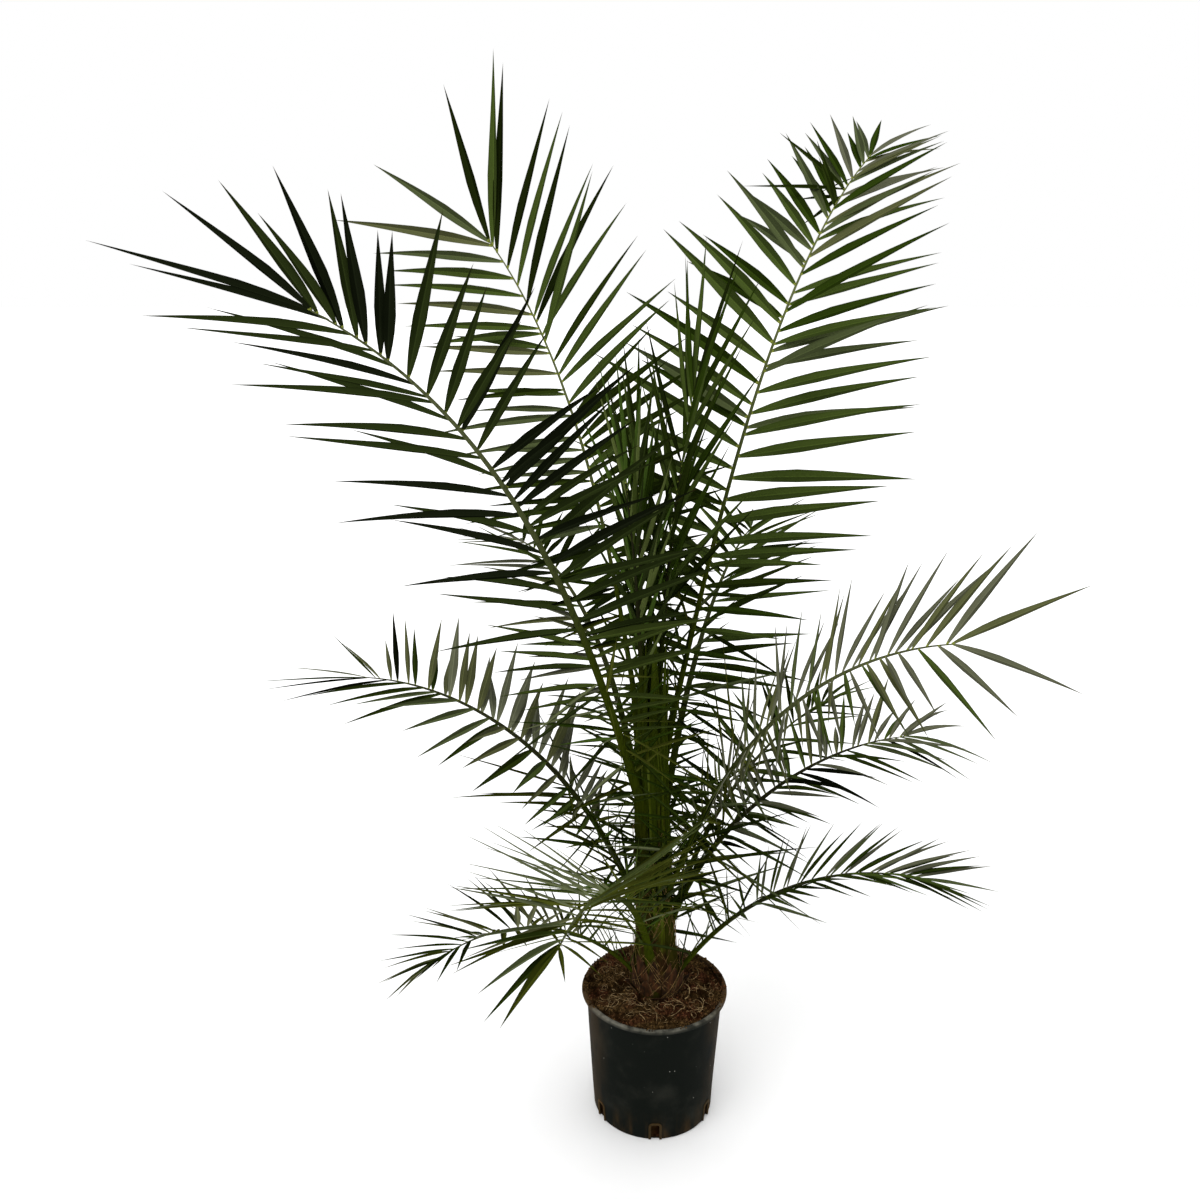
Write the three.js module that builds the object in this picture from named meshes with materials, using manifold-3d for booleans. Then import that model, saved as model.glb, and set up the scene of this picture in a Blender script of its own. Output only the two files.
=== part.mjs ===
// Young Canary Island date palm in a round black nursery pot, about 2 m tall.
// Millimetres, +Z up. The origin is the centre of the pot's flat underside.
import * as THREE from 'three';
import { mergeVertices } from 'three/addons/utils/BufferGeometryUtils.js';
import Module from 'manifold-3d';

const wasm = await Module();
wasm.setup();

// Pot
const POT_HEIGHT = 266;
const POT_BASE_RADIUS = 118.5;
const POT_FOOT_RISE = 3;
const POT_NECK_RADIUS = 133;
const POT_WALL = 2.6;
const POT_FLOOR = 4;
const LIP_HEIGHT = 9;
const LIP_RADIUS = 143;
const LIP_ROUND = 2.5;
const POT_SIDES = 36;
const NOTCH_COUNT = 6;
const NOTCH_WIDTH = 18;
const NOTCH_HEIGHT = 36;
const NOTCH_ARC_STEPS = 4;
const NOTCH_CUT_DEPTH = 10;
const NOTCH_CUT_BELOW = 1;

// Soil in the pot, a low mound with a flat seat for the stem
const SOIL_EDGE_HEIGHT = 260;
const SOIL_SEAT_HEIGHT = 262;
const SOIL_SEAT_RADIUS = 56;
const SOIL_SHOULDER_RADIUS = 104;
const SOIL_SHOULDER_HEIGHT = 261.5;

// Stem: swollen at the soil, then a column of packed leaf bases that leans a little to the left
const STEM_SIDES = 18;
const STEM_TOP = 815;
const STEM_LEAN_START = 5;
const STEM_LEAN_END = -16;
const STEM_GIRTH = [
  { height: 0, radius: 47 },
  { height: 22, radius: 50 },
  { height: 55, radius: 44 },
  { height: 95, radius: 38.5 },
  { height: 170, radius: 35.5 },
  { height: 340, radius: 34 },
  { height: 480, radius: 31 },
  { height: 545, radius: 26 },
];

// Gap that neighbouring solids keep
const CLEARANCE = 0.3;

// Rib of a frond: half width and half depth at the heel, at the stem's edge and at the tip
const RIB_SIDES = 6;
const RIB_STEPS = 10;
const RIB_HEEL_LENGTH = 42;
const RIB_HEEL_RISE = 55;
const RIB_ROOT_RADIUS = 30;
const RIB_HALF_WIDTH = 8.5;
const RIB_HALF_DEPTH = 6.5;
const RIB_TIP_SCALE = 0.2;
const RIB_BASE_FLARE = 0.5;
const RIB_FLARE_SHARE = 0.1;
const SHORT_RIB_LENGTH = 650;
const SHORT_RIB_SCALE = 0.85;

// Leaflet: a long blade with a keel below, widest near its root
const BLADE_HALF_WIDTH = 9;
const BLADE_KEEL = 5;
const BLADE_WIDEST_SHARE = 0.34;
const BLADE_ROOT_SCALE = 0.3;
const BLADE_FULL_LENGTH = 300;
const BLADE_LEAST_SCALE = 0.72;
const BLADE_LEAST_LENGTH = 60;
const BLADE_SPACE = 2 * CLEARANCE;

// How far a three-sided ring's corners reach sideways and in depth, for a width and a depth of 1
const CORNER_WIDTH = 1 / Math.cos(Math.PI / 6);
const CORNER_DEPTH = 2 / 3;

// How the leaflets stand along a frond
const START_FORWARD = 94;
const CLOSING = 1.5;
const GROW_IN_SHARE = 0.28;
const FIRST_LEAFLET_SCALE = 0.4;
const TAPER_FROM = 0.5;
const TAPER_POWER = 1.4;
const RANK_PATTERN = [-1, 0.2, 1];
const FORWARD_WOBBLE = 5;
const LIFT_AT_TIP = 0.4;
const LIFT_WOBBLE = 5;
const LENGTH_WOBBLE = 0.07;
const PAIR_STAGGER = 0.22;
const END_SHARE = 0.998;
const END_FORWARD_SCALE = 0.5;

// Repeatable noise that makes leaflets differ a little
const SEEDS_PER_FROND = 97;
const END_SEED = 0.6;
const END_SEED_STEP = 0.1;
const NOISE_STEP = 12.9898;
const NOISE_SHIFT = 4.1414;
const NOISE_SPREAD = 43758.5453;

// Ways a leaflet may turn aside or shorten where another frond is in its way
const LIFT_TRIES = [0, 9, -9, 18, -18, 28, -28];
const LENGTH_TRIES = [1, 0.85, 0.7, 0.55];

// Each frond's own sizes. Angles are in degrees: turn is its direction from above, 0 to the right and
// 270 to the front; sweep is how far it turns on its way out; rise is its slope at the root and tipRise
// at the tip, with bend for where it curves; lift raises both rows of leaflets into a V, fan spreads
// them over several planes, and roll twists the frond about its rib. bare is the share of the rib
// before the first leaflet and tipLeaf the length of the last leaflets as a share of the longest.
// startForward and tipForward are the angles between rib and leaflet at the first leaflet and at the
// tip, and a high closing keeps the first angle for longer. right holds what differs for the leaflets
// on the rib's right side. inset is how far from the stem's centre a middle frond stands, and closed
// how far its leaflets have opened.
const FRONDS = [
  {
    name: 'frond_front_left_high',
    turn: 222, sweep: 4, root: 682, length: 1120, rise: 70, tipRise: 27, bend: 2,
    leaflet: 285, spacing: 41, bare: 0.12, tipLeaf: 0.9, lift: 8, fan: 12, roll: 28, tipForward: 30,
    startForward: 88, right: { startForward: 94 },
  },
  {
    name: 'frond_back_left_high',
    turn: 122, sweep: 12, root: 780, length: 1015, rise: 74, tipRise: 41, bend: 1.9,
    leaflet: 285, spacing: 43, bare: 0.16, tipLeaf: 1.35, lift: 0, fan: 12, roll: -70, tipForward: 30,
    right: { tipForward: 38 },
  },
  {
    name: 'frond_back_right_high',
    turn: 40, sweep: 15, root: 744, length: 1305, rise: 73.5, tipRise: 26, bend: 2.3,
    leaflet: 355, spacing: 41, bare: 0.12, tipLeaf: 0.58, lift: -4, fan: 12, roll: 12, tipForward: 30,
    startForward: 84, right: { leaflet: 325, tipLeaf: 0.68, startForward: 80, tipForward: 22 },
  },
  {
    name: 'frond_right_middle',
    turn: -30, sweep: 12, root: 486, length: 775, rise: 70.5, tipRise: 10, bend: 1.9,
    leaflet: 180, spacing: 32, bare: 0.3, tipLeaf: 1.35, lift: 0, fan: 14, roll: 40, tipForward: 50,
    startForward: 60, closing: 1, right: { leaflet: 155, startForward: 96, closing: 2.4, lift: 22 },
  },
  {
    name: 'frond_right_lower',
    turn: 4, sweep: 13, root: 402, length: 626, rise: 72, tipRise: -2, bend: 1.15,
    leaflet: 160, spacing: 33, bare: 0.3, tipLeaf: 1.1, lift: 4, fan: 18, roll: 18, tipForward: 32,
    startForward: 80, closing: 2.2, right: { startForward: 58, tipForward: 34, closing: 1 },
  },
  {
    name: 'frond_right_low',
    turn: -12, sweep: 13, root: 282, length: 562, rise: 60, tipRise: -16, bend: 1.4,
    leaflet: 150, spacing: 28, bare: 0.36, tipLeaf: 1.3, lift: 50, fan: 12, roll: 12, tipForward: 20,
    startForward: 72, closing: 0.6, right: { leaflet: 120, lift: 26 },
  },
  {
    name: 'frond_left_middle',
    turn: 172, sweep: 6, root: 445, length: 720, rise: 66.5, tipRise: 3, bend: 1.55,
    leaflet: 165, spacing: 33, bare: 0.26, tipLeaf: 1.35, lift: 4, fan: 14, roll: -18, tipForward: 14,
    startForward: 84, closing: 1.7,
    right: { leaflet: 190, tipLeaf: 0.9, startForward: 78, tipForward: 20, closing: 20 },
  },
  {
    name: 'frond_front_low',
    turn: 250, sweep: 11, root: 316, length: 840, rise: 86, tipRise: 12, bend: 0.5,
    leaflet: 235, spacing: 35, bare: 0.36, tipLeaf: 0.45, lift: 40, fan: 10, roll: 0, tipForward: 30,
    right: { leaflet: 225, tipLeaf: 1, lift: 20, fan: 14, tipForward: 15 },
  },
  {
    name: 'frond_left_low',
    turn: 186, sweep: 40, root: 279, length: 500, rise: 58, tipRise: -12, bend: 0.93,
    leaflet: 150, spacing: 29, bare: 0.34, tipLeaf: 0.6, lift: 20, fan: 18, roll: 20, tipForward: 14,
    startForward: 80, closing: 2, right: { leaflet: 170, lift: 44, fan: 8 },
  },
  {
    name: 'frond_back_left_middle',
    turn: 120, sweep: 4, root: 590, length: 740, rise: 73, tipRise: -4, bend: 1.6,
    leaflet: 220, spacing: 46, bare: 0.28, tipLeaf: 0.8, lift: 16, fan: 18, roll: 0, tipForward: 28,
  },
  {
    name: 'frond_back_right_middle',
    turn: 62, sweep: 5, root: 545, length: 780, rise: 75, tipRise: 4, bend: 1.5,
    leaflet: 235, spacing: 47, bare: 0.28, tipLeaf: 0.8, lift: 16, fan: 18, roll: 0, tipForward: 28,
  },
  {
    name: 'frond_back_right_low',
    turn: 34, sweep: 6, root: 360, length: 620, rise: 77, tipRise: 6, bend: 1.1,
    leaflet: 180, spacing: 42, bare: 0.3, tipLeaf: 0.8, lift: 18, fan: 18, roll: 0, tipForward: 26,
  },
  {
    name: 'frond_back_low',
    turn: 96, sweep: -6, root: 330, length: 610, rise: 76, tipRise: -14, bend: 1,
    leaflet: 180, spacing: 40, bare: 0.34, tipLeaf: 0.75, lift: 18, fan: 18, roll: 0, tipForward: 26,
  },
  {
    name: 'frond_centre_back',
    turn: 35, sweep: 0, root: 795, length: 620, rise: 88, tipRise: 77, bend: 1.5,
    leaflet: 270, spacing: 52, bare: 0.2, tipLeaf: 1, lift: 8, fan: 22, roll: 0, tipForward: 44,
    inset: 16, closed: 0.4,
  },
  {
    name: 'frond_centre_front',
    turn: 215, sweep: 0, root: 800, length: 480, rise: 88, tipRise: 80, bend: 1.5,
    leaflet: 235, spacing: 48, bare: 0.2, tipLeaf: 1, lift: 6, fan: 22, roll: 0, tipForward: 44,
    inset: 16, closed: 0.34,
  },
  {
    name: 'spear_centre',
    turn: 130, sweep: 0, root: 800, length: 500, rise: 89, tipRise: 85, bend: 1,
    leaflet: 220, spacing: 74, bare: 0.24, tipLeaf: 1, lift: 6, fan: 20, roll: 0, tipForward: 40,
    inset: 18, closed: 0.24,
  },
];

const COLOURS = {
  pot: { color: 0x1c1d1e, roughness: 0.72, metalness: 0 },
  soil: { color: 0x3a2718, roughness: 0.95, metalness: 0 },
  stem: { color: 0x45441f, roughness: 0.85, metalness: 0 },
  frond: { color: 0x2f4a1c, roughness: 0.5, metalness: 0 },
};

const radians = THREE.MathUtils.degToRad;
const lerp = THREE.MathUtils.lerp;

// Closed mesh from a three.js geometry, joined at its seams and kept as a solid for cutting and joining.
function toSolid(geometry) {
  const bare = geometry.clone();
  bare.deleteAttribute('normal');
  bare.deleteAttribute('uv');
  const merged = mergeVertices(bare);
  return new wasm.Manifold(new wasm.Mesh({
    numProp: 3,
    vertProperties: new Float32Array(merged.attributes.position.array),
    triVerts: new Uint32Array(merged.index.array),
  }));
}

function toGeometry(solid) {
  const mesh = solid.getMesh();
  const geometry = new THREE.BufferGeometry();
  geometry.setAttribute('position', new THREE.BufferAttribute(mesh.vertProperties, mesh.numProp));
  geometry.setIndex(new THREE.BufferAttribute(mesh.triVerts, 1));
  geometry.computeVertexNormals();
  return geometry;
}

function largestPiece(solid) {
  const pieces = solid.decompose();
  return pieces.reduce((best, piece) => (piece.volume() > best.volume() ? piece : best));
}

// Surface of revolution about Z from [radius, height] points that start and end on the axis.
function turned(points, sides) {
  const profile = points.map(([radius, height]) => new THREE.Vector2(radius, height));
  return new THREE.LatheGeometry(profile, sides).rotateX(Math.PI / 2);
}

// Repeatable value from -1 to 1 for a whole or half number.
function wobble(seed) {
  const value = Math.sin(seed * NOISE_STEP + NOISE_SHIFT) * NOISE_SPREAD;
  return 2 * (value - Math.floor(value)) - 1;
}

function makePot() {
  const lipBottom = POT_HEIGHT - LIP_HEIGHT;
  const shell = toSolid(turned([
    [0, 0],
    [POT_BASE_RADIUS - POT_FOOT_RISE, 0],
    [POT_BASE_RADIUS, POT_FOOT_RISE],
    [POT_NECK_RADIUS, lipBottom],
    [LIP_RADIUS - LIP_ROUND, lipBottom],
    [LIP_RADIUS, lipBottom + LIP_ROUND],
    [LIP_RADIUS, POT_HEIGHT - LIP_ROUND],
    [LIP_RADIUS - LIP_ROUND, POT_HEIGHT],
    [POT_NECK_RADIUS + LIP_ROUND, POT_HEIGHT],
    [POT_NECK_RADIUS, POT_HEIGHT - LIP_ROUND],
    [POT_NECK_RADIUS - POT_WALL, lipBottom],
    [POT_BASE_RADIUS - POT_WALL, POT_FLOOR],
    [0, POT_FLOOR],
  ], POT_SIDES));
  return notchCutters().reduce((pot, cutter) => pot.subtract(cutter), shell);
}

// Arched drain openings round the foot of the wall, one of them at the front.
function notchCutters() {
  const half = NOTCH_WIDTH / 2;
  const arch = new THREE.Shape();
  arch.moveTo(-half, -NOTCH_CUT_BELOW);
  arch.lineTo(half, -NOTCH_CUT_BELOW);
  arch.lineTo(half, NOTCH_HEIGHT - half);
  arch.absarc(0, NOTCH_HEIGHT - half, half, 0, Math.PI);
  arch.closePath();
  const cutters = [];
  for (let i = 0; i < NOTCH_COUNT; i += 1) {
    const angle = (i / NOTCH_COUNT) * 2 * Math.PI;
    const cutter = new THREE.ExtrudeGeometry(arch, {
      depth: NOTCH_CUT_DEPTH, bevelEnabled: false, curveSegments: NOTCH_ARC_STEPS,
    });
    cutter.translate(0, 0, POT_BASE_RADIUS - POT_WALL - CLEARANCE);
    cutter.rotateX(Math.PI / 2);
    cutter.rotateZ(angle);
    cutters.push(toSolid(cutter));
  }
  return cutters;
}

function makeSoil() {
  const lipBottom = POT_HEIGHT - LIP_HEIGHT;
  const inside = POT_WALL + 2 * CLEARANCE;
  return toSolid(turned([
    [0, POT_FLOOR + CLEARANCE],
    [POT_BASE_RADIUS - inside, POT_FLOOR + CLEARANCE],
    [POT_NECK_RADIUS - inside, lipBottom],
    [POT_NECK_RADIUS - inside, SOIL_EDGE_HEIGHT],
    [SOIL_SHOULDER_RADIUS, SOIL_SHOULDER_HEIGHT],
    [SOIL_SEAT_RADIUS, SOIL_SEAT_HEIGHT],
    [0, SOIL_SEAT_HEIGHT],
  ], POT_SIDES));
}

const STEM_FOOT = SOIL_SEAT_HEIGHT + CLEARANCE;

// Centre of the leaning stem at a height.
function stemCentre(height) {
  const share = THREE.MathUtils.clamp((height - STEM_FOOT) / (STEM_TOP - STEM_FOOT), 0, 1);
  return new THREE.Vector3(lerp(STEM_LEAN_START, STEM_LEAN_END, share), 0, height);
}

function stemRadius(above) {
  const next = STEM_GIRTH.findIndex((ring) => ring.height >= above);
  if (next <= 0) return next === 0 ? STEM_GIRTH[0].radius : STEM_GIRTH.at(-1).radius;
  const [low, high] = [STEM_GIRTH[next - 1], STEM_GIRTH[next]];
  return lerp(low.radius, high.radius, (above - low.height) / (high.height - low.height));
}

// The stem as a bent, tapered cylinder. grown makes it that much thicker all round.
function makeStem(grown = 0) {
  const steps = STEM_GIRTH.length;
  const geometry = new THREE.CylinderGeometry(1, 1, 1, STEM_SIDES, steps).rotateX(Math.PI / 2);
  const heights = [...STEM_GIRTH.map((ring) => ring.height), STEM_TOP - STEM_FOOT];
  const position = geometry.attributes.position;
  const point = new THREE.Vector3();
  for (let i = 0; i < position.count; i += 1) {
    point.fromBufferAttribute(position, i);
    const ring = Math.round((point.z + 0.5) * steps);
    const centre = stemCentre(STEM_FOOT + heights[ring]);
    const radius = stemRadius(heights[ring]) + grown;
    const end = (ring === steps ? grown : 0) - (ring === 0 ? grown : 0);
    position.setXYZ(i, centre.x + point.x * radius, centre.y + point.y * radius, centre.z + end);
  }
  return toSolid(geometry);
}

// Direction of the rib, its left side and its upper side at a share of its length.
function ribFrame(frond, share) {
  const rise = radians(lerp(frond.rise, frond.tipRise, share ** frond.bend));
  const turn = radians(frond.turn + frond.sweep * share);
  const forward = new THREE.Vector3(
    Math.cos(rise) * Math.cos(turn), Math.cos(rise) * Math.sin(turn), Math.sin(rise),
  );
  const side = new THREE.Vector3(-Math.sin(turn), Math.cos(turn), 0);
  const roll = radians(frond.roll) * Math.min(1, share / RIB_FLARE_SHARE);
  side.applyAxisAngle(forward, roll);
  const up = new THREE.Vector3().crossVectors(forward, side);
  return { forward, side, up };
}

// Centre line of the rib: from a heel inside the stem, through the stem's edge, to the tip.
function ribLine(frond) {
  const turn = radians(frond.turn);
  const outward = new THREE.Vector3(Math.cos(turn), Math.sin(turn), 0);
  const root = stemCentre(frond.root).addScaledVector(outward, frond.inset ?? RIB_ROOT_RADIUS);
  const heelRise = radians(frond.inset ? frond.rise : RIB_HEEL_RISE);
  const heel = root.clone().addScaledVector(outward, -RIB_HEEL_LENGTH * Math.cos(heelRise));
  heel.z -= RIB_HEEL_LENGTH * Math.sin(heelRise);
  const points = [root];
  for (let i = 0; i < RIB_STEPS; i += 1) {
    const { forward } = ribFrame(frond, (i + 0.5) / RIB_STEPS);
    points.push(points.at(-1).clone().addScaledVector(forward, frond.length / RIB_STEPS));
  }
  return { heel, points };
}

function pointOnRib(points, share) {
  const along = share * (points.length - 1);
  const index = Math.min(Math.floor(along), points.length - 2);
  return points[index].clone().lerp(points[index + 1], along - index);
}

function makeRib(frond, line) {
  const rings = line.points.length;
  const geometry = new THREE.CylinderGeometry(1, 1, 1, RIB_SIDES, rings);
  const position = geometry.attributes.position;
  const point = new THREE.Vector3();
  const slim = frond.length < SHORT_RIB_LENGTH ? SHORT_RIB_SCALE : 1;
  for (let i = 0; i < position.count; i += 1) {
    point.fromBufferAttribute(position, i);
    const ring = Math.round((point.y + 0.5) * rings);
    const share = Math.max(0, ring - 1) / (rings - 1);
    const centre = ring === 0 ? line.heel : line.points[ring - 1];
    const { side, up } = ribFrame(frond, share);
    const flare = 1 + RIB_BASE_FLARE * Math.max(0, 1 - share / RIB_FLARE_SHARE);
    const scale = lerp(1, RIB_TIP_SCALE, share) * slim;
    const spot = centre.clone()
      .addScaledVector(side, -point.x * RIB_HALF_WIDTH * scale * flare)
      .addScaledVector(up, point.z * RIB_HALF_DEPTH * scale);
    position.setXYZ(i, spot.x, spot.y, spot.z);
  }
  return toSolid(geometry);
}

// Length of a leaflet along a frond: short at first, longest in the middle, shorter to the tip.
function leafletLength(frond, along, seed) {
  const grow = lerp(FIRST_LEAFLET_SCALE, 1, Math.min(1, along / GROW_IN_SHARE));
  const taper = Math.max(0, (along - TAPER_FROM) / (1 - TAPER_FROM)) ** TAPER_POWER;
  return frond.leaflet * grow * lerp(1, frond.tipLeaf, taper) * (1 + LENGTH_WOBBLE * wobble(seed));
}

// One leaflet at a share along the leafy part of the rib, on the left (hand 1) or right (hand -1).
function leafletAt(frond, line, along, hand, rank, seed) {
  const side = hand < 0 ? { ...frond, ...frond.right } : frond;
  const share = lerp(frond.bare, 1, along);
  const start = side.startForward ?? START_FORWARD;
  const opening = lerp(start, side.tipForward, along ** (side.closing ?? CLOSING));
  return {
    share,
    hand,
    root: pointOnRib(line.points, share),
    forward: (opening + FORWARD_WOBBLE * wobble(seed)) * (frond.closed ?? 1),
    lift: side.lift * lerp(1, LIFT_AT_TIP, along) + side.fan * rank + LIFT_WOBBLE * wobble(seed + 0.5),
    length: leafletLength(side, along, seed + 0.25),
  };
}

// The leaflets in turn on both sides of the rib, then the pair that ends it.
function leafletPlan(frond, line, order) {
  const perSide = Math.round((frond.length * (1 - frond.bare)) / frond.spacing);
  const firstSeed = order * SEEDS_PER_FROND;
  const plan = [];
  for (let i = 0; i < perSide; i += 1) {
    for (const hand of [-1, 1]) {
      const upper = hand > 0 ? 1 : 0;
      const along = (i + 0.5 + PAIR_STAGGER * hand) / perSide;
      const rank = RANK_PATTERN[(i + upper) % RANK_PATTERN.length];
      plan.push(leafletAt(frond, line, along, hand, rank, firstSeed + i * 2 + upper));
    }
  }
  for (const hand of [-1, 1]) {
    const seed = firstSeed + END_SEED + END_SEED_STEP * hand;
    const leaflet = leafletAt(frond, line, END_SHARE, hand, 0, seed);
    const { tipForward } = hand < 0 ? { ...frond, ...frond.right } : frond;
    const forward = tipForward * END_FORWARD_SCALE * (frond.closed ?? 1);
    plan.push({ ...leaflet, forward, lift: 0 });
  }
  return plan;
}

function leafletDirection(frond, leaflet, extraLift) {
  const { forward, side, up } = ribFrame(frond, leaflet.share);
  const opening = radians(leaflet.forward);
  const lift = radians(leaflet.lift + extraLift);
  return new THREE.Vector3()
    .addScaledVector(forward, Math.cos(opening))
    .addScaledVector(side, Math.sin(opening) * Math.cos(lift) * leaflet.hand)
    .addScaledVector(up, Math.sin(opening) * Math.sin(lift));
}

// A three-sided blade from its root in the rib to a point, flat above and keeled below.
function makeBlade(frond, share, root, direction, length, grown = 0) {
  const geometry = new THREE.ConeGeometry(1, 1, 3, 2);
  const { up } = ribFrame(frond, share);
  const face = up.clone().addScaledVector(direction, -up.dot(direction)).normalize();
  const across = new THREE.Vector3().crossVectors(direction, face);
  const size = Math.max(BLADE_LEAST_SCALE, length / BLADE_FULL_LENGTH);
  const position = geometry.attributes.position;
  const point = new THREE.Vector3();
  for (let i = 0; i < position.count; i += 1) {
    point.fromBufferAttribute(position, i);
    const ring = Math.round((point.y + 0.5) * 2);
    const outline = [BLADE_ROOT_SCALE, 1, 0][ring] / (Math.hypot(point.x, point.z) || 1);
    const wide = point.x * outline * (BLADE_HALF_WIDTH * size * CORNER_WIDTH + grown);
    const deep = point.z * outline * (BLADE_KEEL * size * CORNER_DEPTH + grown);
    const reach = [0, BLADE_WIDEST_SHARE * length, length + grown][ring];
    const spot = root.clone()
      .addScaledVector(direction, reach)
      .addScaledVector(across, -wide)
      .addScaledVector(face, -deep);
    position.setXYZ(i, spot.x, spot.y, spot.z);
  }
  return toSolid(geometry);
}

// Everything already in place, as centre lines with a reach, so that a new blade can be kept clear of it.
const placed = [];

function place(owner, start, end, reach, solid) {
  placed.push({ owner, line: new THREE.Line3(start.clone(), end.clone()), reach, solid });
}

function isClear(owner, start, end, reach, grownSolid) {
  const line = new THREE.Line3(start, end);
  const near = placed.filter((item) => item.owner !== owner
    && line.distanceSqToLine3(item.line) < (reach + item.reach) ** 2);
  return near.every((item) => item.solid.intersect(grownSolid).isEmpty());
}

function makeFrondSolid(frond, order, rib, line) {
  let solid = rib;
  for (const leaflet of leafletPlan(frond, line, order)) {
    const blade = fitBlade(frond, leaflet);
    if (blade) solid = solid.add(blade);
  }
  return solid;
}

// The first turn and length at which a leaflet is clear of the stem, the pot and every other frond.
function fitBlade(frond, leaflet) {
  for (const shorter of LENGTH_TRIES) {
    const length = leaflet.length * shorter;
    if (length < BLADE_LEAST_LENGTH) return null;
    for (const extraLift of LIFT_TRIES) {
      const direction = leafletDirection(frond, leaflet, extraLift);
      const end = leaflet.root.clone().addScaledVector(direction, length);
      const grown = makeBlade(frond, leaflet.share, leaflet.root, direction, length, BLADE_SPACE);
      if (isClear(frond.name, leaflet.root, end, BLADE_HALF_WIDTH + BLADE_SPACE, grown)) {
        const blade = makeBlade(frond, leaflet.share, leaflet.root, direction, length);
        place(frond.name, leaflet.root, end, BLADE_HALF_WIDTH, blade);
        return blade;
      }
    }
  }
  return null;
}

function named(name, solid, look) {
  const mesh = new THREE.Mesh(toGeometry(solid), new THREE.MeshStandardMaterial(look));
  mesh.name = name;
  return mesh;
}

const pot = makePot();
const soil = makeSoil();
const stem = makeStem();
const stemSpace = makeStem(CLEARANCE);

const potTop = new THREE.Vector3(0, 0, POT_HEIGHT);
const widestStem = Math.max(...STEM_GIRTH.map((ring) => ring.radius));
place('pot', new THREE.Vector3(), potTop, LIP_RADIUS + CLEARANCE, pot.add(soil));
place('stem', stemCentre(STEM_FOOT), stemCentre(STEM_TOP), widestStem + CLEARANCE, stem);

const ribs = FRONDS.map((frond) => {
  const line = ribLine(frond);
  const solid = largestPiece(makeRib(frond, line).subtract(stemSpace));
  line.points.slice(1).forEach((point, i) => {
    place(frond.name, line.points[i], point, RIB_HALF_WIDTH * (1 + RIB_BASE_FLARE), solid);
  });
  return { line, solid };
});

const palm = new THREE.Group();
palm.add(named('pot', pot, COLOURS.pot));
palm.add(named('soil', soil, COLOURS.soil));
palm.add(named('stem', stem, COLOURS.stem));
FRONDS.forEach((frond, order) => {
  const { line, solid } = ribs[order];
  const whole = makeFrondSolid(frond, order, solid, line);
  palm.add(named(frond.name, largestPiece(whole.subtract(stemSpace)), COLOURS.frond));
});

export default palm;
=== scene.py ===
"""Looks of a young Canary Island date palm in a round black nursery pot.

Lengths are in metres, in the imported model's frame: the origin is the centre of the pot's flat underside
and +Z is up. The fronds grow by the rule of the part's source, written again here with finer leaflets.
"""

import logging
import math
import random
from collections.abc import Callable, Iterable, Sequence
from dataclasses import dataclass, field, replace
from enum import Enum, IntEnum

import bmesh
import bpy
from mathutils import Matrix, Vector, noise


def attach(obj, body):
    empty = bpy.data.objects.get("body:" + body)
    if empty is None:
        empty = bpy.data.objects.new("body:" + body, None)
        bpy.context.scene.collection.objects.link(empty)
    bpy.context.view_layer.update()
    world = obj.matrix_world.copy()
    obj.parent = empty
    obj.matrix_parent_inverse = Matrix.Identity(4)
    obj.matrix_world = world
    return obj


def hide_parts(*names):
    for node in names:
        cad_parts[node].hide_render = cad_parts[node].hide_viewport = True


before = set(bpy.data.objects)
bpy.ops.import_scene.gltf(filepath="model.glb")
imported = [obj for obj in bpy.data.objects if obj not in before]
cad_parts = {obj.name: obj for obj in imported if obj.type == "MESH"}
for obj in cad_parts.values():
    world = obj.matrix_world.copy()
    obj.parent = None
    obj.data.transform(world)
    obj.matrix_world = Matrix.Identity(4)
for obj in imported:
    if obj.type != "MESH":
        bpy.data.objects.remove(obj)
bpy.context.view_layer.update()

LOG = logging.getLogger("palm")
BODY = "root"
UP = Vector((0, 0, 1))
GOLDEN_TURN = math.radians(137.5)
Triple = tuple[float, float, float]


# Numbers and places

def lerp(first: float, last: float, share: float) -> float:
    """The number that lies a share of the way from first to last."""
    return first + (last - first) * share


def clamp(value: float) -> float:
    """The value, held between 0 and 1."""
    return max(0.0, min(1.0, value))


def smooth(share: float) -> float:
    """A share from 0 to 1 that starts and ends gently."""
    share = clamp(share)
    return share * share * (3 - 2 * share)


def wobble(seed: float) -> float:
    """The source's repeatable value from -1 to 1."""
    value = math.sin(seed * 12.9898 + 4.1414) * 43758.5453
    return 2 * (value - math.floor(value)) - 1


def shares(steps: int) -> list[float]:
    """Even shares from 0 to 1, with both ends."""
    return [i / steps for i in range(steps + 1)]


def turns(count: int) -> list[float]:
    """Even angles all the way round."""
    return [i / count * math.tau for i in range(count)]


def around(turn: float, away: float = 1.0, height: float = 0.0) -> Vector:
    """The point at an angle, a distance from the plant's axis and a height."""
    return Vector((math.cos(turn) * away, math.sin(turn) * away, height))


def linear(code: str) -> tuple[float, float, float, float]:
    """Six hex digits as the linear red, green, blue and alpha that shaders take."""
    channels = [int(code[i:i + 2], 16) / 255 for i in (0, 2, 4)]
    return (*[c / 12.92 if c <= 0.04045 else ((c + 0.055) / 1.055) ** 2.4 for c in channels], 1.0)


# Node trees

def arithmetic(operation: str, turned: bool = False) -> Callable:
    """One of Python's operators as a Math node, with its two numbers changed round if turned.

    Args:
        operation: The Math node's operation.
        turned: Whether the other number comes first.

    Returns:
        The method for that operator.
    """
    def method(self: "Value", other: "Value | float") -> "Value":
        """This and the other in one Math node."""
        return self.graph.math(operation, *((other, self) if turned else (self, other)))
    return method


@dataclass(frozen=True)
class Wire:
    """What a socket of a node tree gives."""

    graph: "Graph"
    socket: bpy.types.NodeSocket


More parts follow.
